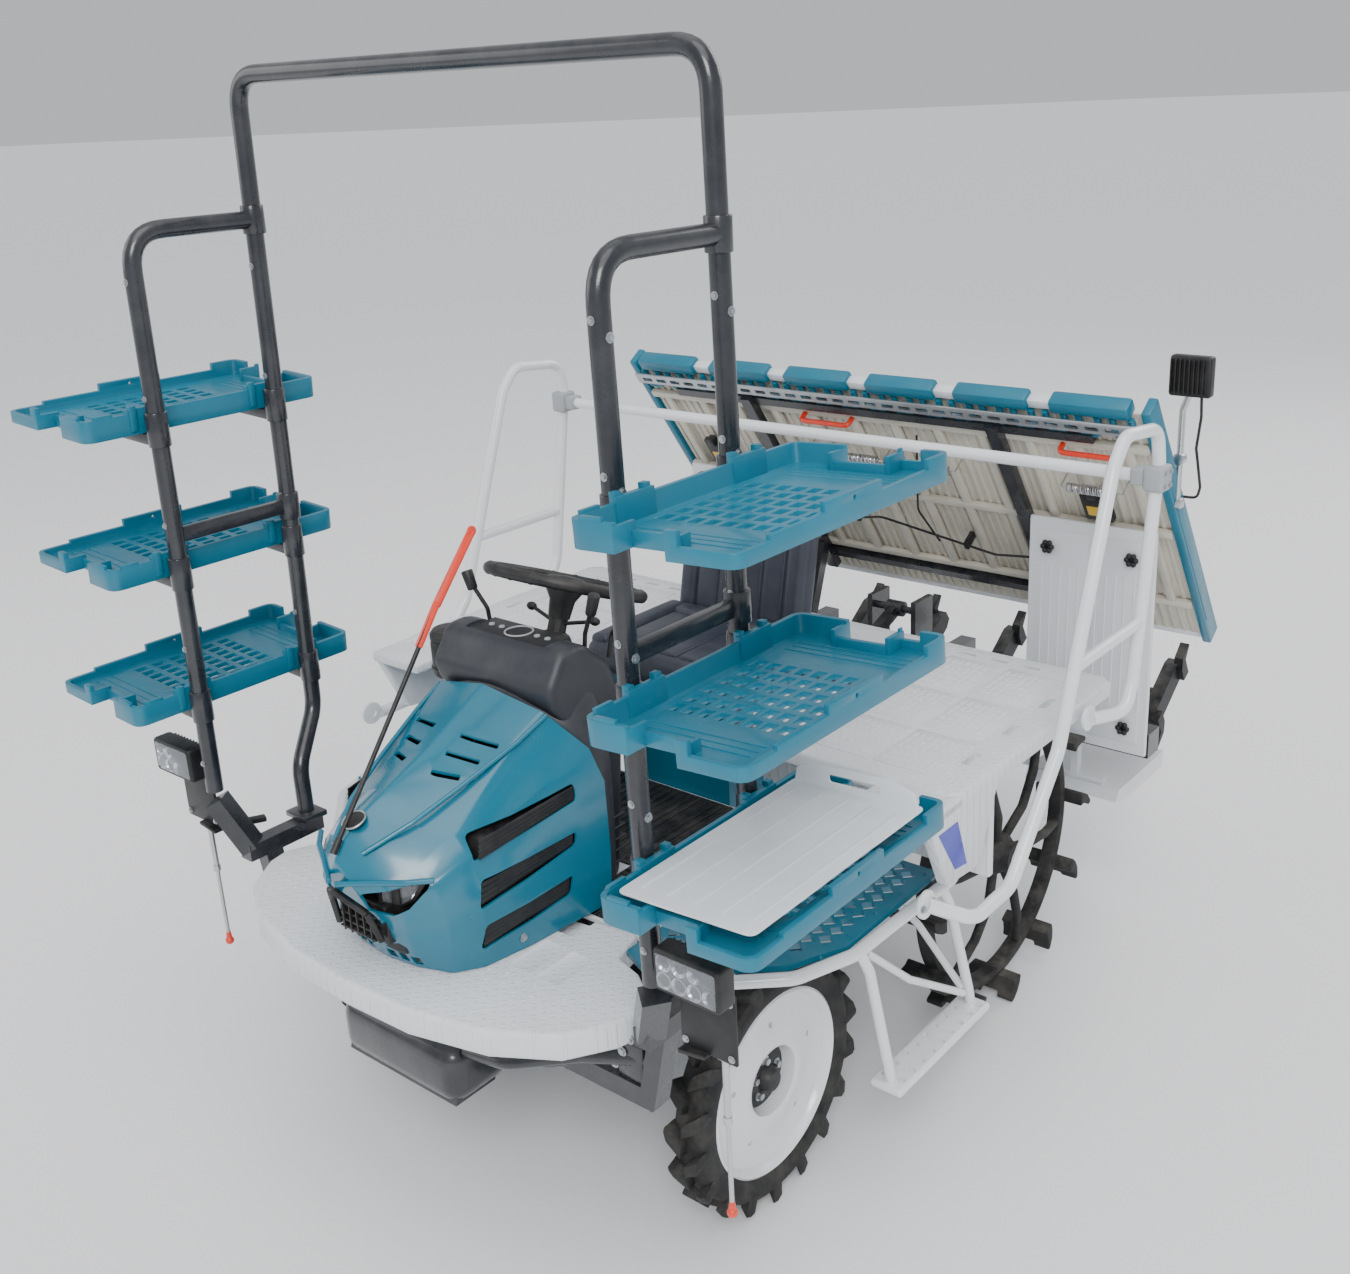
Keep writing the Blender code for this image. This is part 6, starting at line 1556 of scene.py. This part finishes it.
# ------------------------------------------------------------------ stage and camera
class SCENE_OT_transplanter_stage(PieceOperator, bpy.types.Operator):
    """Pale floor and backdrop, soft studio lights and the camera"""
    bl_idname = "scene.transplanter_stage"
    bl_label = "Stage"

    def execute(self, context):
        clear()
        bpy.ops.mesh.primitive_plane_add(size=400, location=(0, 0, -0.0015))
        floor = bpy.context.object
        floor.name = "floor"
        floor.data.materials.append(self.floor_finish())
        for name, place, size, power in (("key", (5.0, -6.5, 6.5), 3.5, 480),
                                         ("fill", (-6.5, -4.5, 4.5), 5.0, 120),
                                         ("back", (1.5, 7.5, 6.0), 5.0, 200),
                                         ("top", (0.0, -0.5, 8.0), 6.0, 60)):
            light = bpy.data.lights.new(name, "AREA")
            light.energy = power
            light.size = size
            lamp = bpy.data.objects.new(name, light)
            context.scene.collection.objects.link(lamp)
            lamp.location = place
            lamp.rotation_euler = (Vector((0, 0, 0.9)) - Vector(place)).to_track_quat("-Z", "Y").to_euler()
        sky = bpy.data.lights.new("even_sky", "SUN")
        sky.energy, sky.angle = 1.1, radians(50)
        overhead = bpy.data.objects.new("even_sky", sky)
        context.scene.collection.objects.link(overhead)
        overhead.rotation_euler = (radians(14), radians(20), 0)
        world = bpy.data.worlds.new("studio")
        world.use_nodes = True
        world.node_tree.nodes["Background"].inputs["Color"].default_value = (0.94, 0.96, 1.0, 1.0)
        world.node_tree.nodes["Background"].inputs["Strength"].default_value = 0.62
        context.scene.world = world
        self.camera(context)
        return {"FINISHED"}

    def floor_finish(self):
        material = bpy.data.materials.new("pale_floor")
        material.use_nodes = True
        shader = material.node_tree.nodes["Principled BSDF"]
        shader.inputs["Base Color"].default_value = (0.90, 0.905, 0.91, 1.0)
        shader.inputs["Roughness"].default_value = 0.85
        return material

    def camera(self, context):
        lens = bpy.data.cameras.new("camera")
        lens.lens, lens.sensor_width = 38.695, 36.0
        lens.shift_x, lens.shift_y = -0.0382, -0.0316
        lens.clip_end = 200
        eye = bpy.data.objects.new("camera", lens)
        context.scene.collection.objects.link(eye)
        yaw, pitch, roll = radians(39.08), radians(18.94), radians(-2.39)
        ahead = Vector((-sin(yaw) * cos(pitch), cos(yaw) * cos(pitch), -sin(pitch)))
        right = Vector((cos(yaw), sin(yaw), 0))
        up = right.cross(ahead)
        across = right * cos(roll) + up * sin(roll)
        upward = up * cos(roll) - right * sin(roll)
        turn = Matrix((across, upward, -ahead)).transposed().to_4x4()
        eye.matrix_world = Matrix.Translation((2.439, -2.318 + AXLE_Y, 2.578)) @ turn
        context.scene.camera = eye


PIECES = (
    OBJECT_OT_transplanter_trays, OBJECT_OT_transplanter_scoop, OBJECT_OT_transplanter_hood,
    OBJECT_OT_transplanter_front_wheels, OBJECT_OT_transplanter_rear_wheels, OBJECT_OT_transplanter_racks,
    OBJECT_OT_transplanter_rails, OBJECT_OT_transplanter_steps, OBJECT_OT_transplanter_deck,
    OBJECT_OT_transplanter_floor, OBJECT_OT_transplanter_dash, OBJECT_OT_transplanter_seat,
    OBJECT_OT_transplanter_platform, OBJECT_OT_transplanter_linkage, OBJECT_OT_transplanter_lamps,
    OBJECT_OT_transplanter_markers, SCENE_OT_transplanter_stage,
)


class VIEW3D_PT_transplanter(bpy.types.Panel):
    """Sizes, colours and the pieces of the transplanter"""
    bl_label = "Transplanter"
    bl_idname = "VIEW3D_PT_transplanter"
    bl_space_type = "VIEW_3D"
    bl_region_type = "UI"
    bl_category = "Transplanter"

    def draw(self, context):
        for holder in (context.scene.transplanter_sizes, context.scene.transplanter_colours):
            box = self.layout.box()
            for name in holder.__annotations__:
                box.prop(holder, name)
        for piece in PIECES:
            self.layout.operator(piece.bl_idname)


CLASSES = (TransplanterColours, TransplanterSizes) + PIECES + (VIEW3D_PT_transplanter,)


def register():
    for each in CLASSES:
        bpy.utils.register_class(each)
    bpy.types.Scene.transplanter_colours = PointerProperty(type=TransplanterColours)
    bpy.types.Scene.transplanter_sizes = PointerProperty(type=TransplanterSizes)


def unregister():
    del bpy.types.Scene.transplanter_colours
    del bpy.types.Scene.transplanter_sizes
    for each in reversed(CLASSES):
        bpy.utils.unregister_class(each)


def main():
    register()
    make_groups()
    make_finishes(bpy.context.scene.transplanter_colours)
    for piece in PIECES:
        group, _, call = piece.bl_idname.partition(".")
        getattr(getattr(bpy.ops, group), call)()
    paint_carried_nodes()


if __name__ == "__main__":
    main()
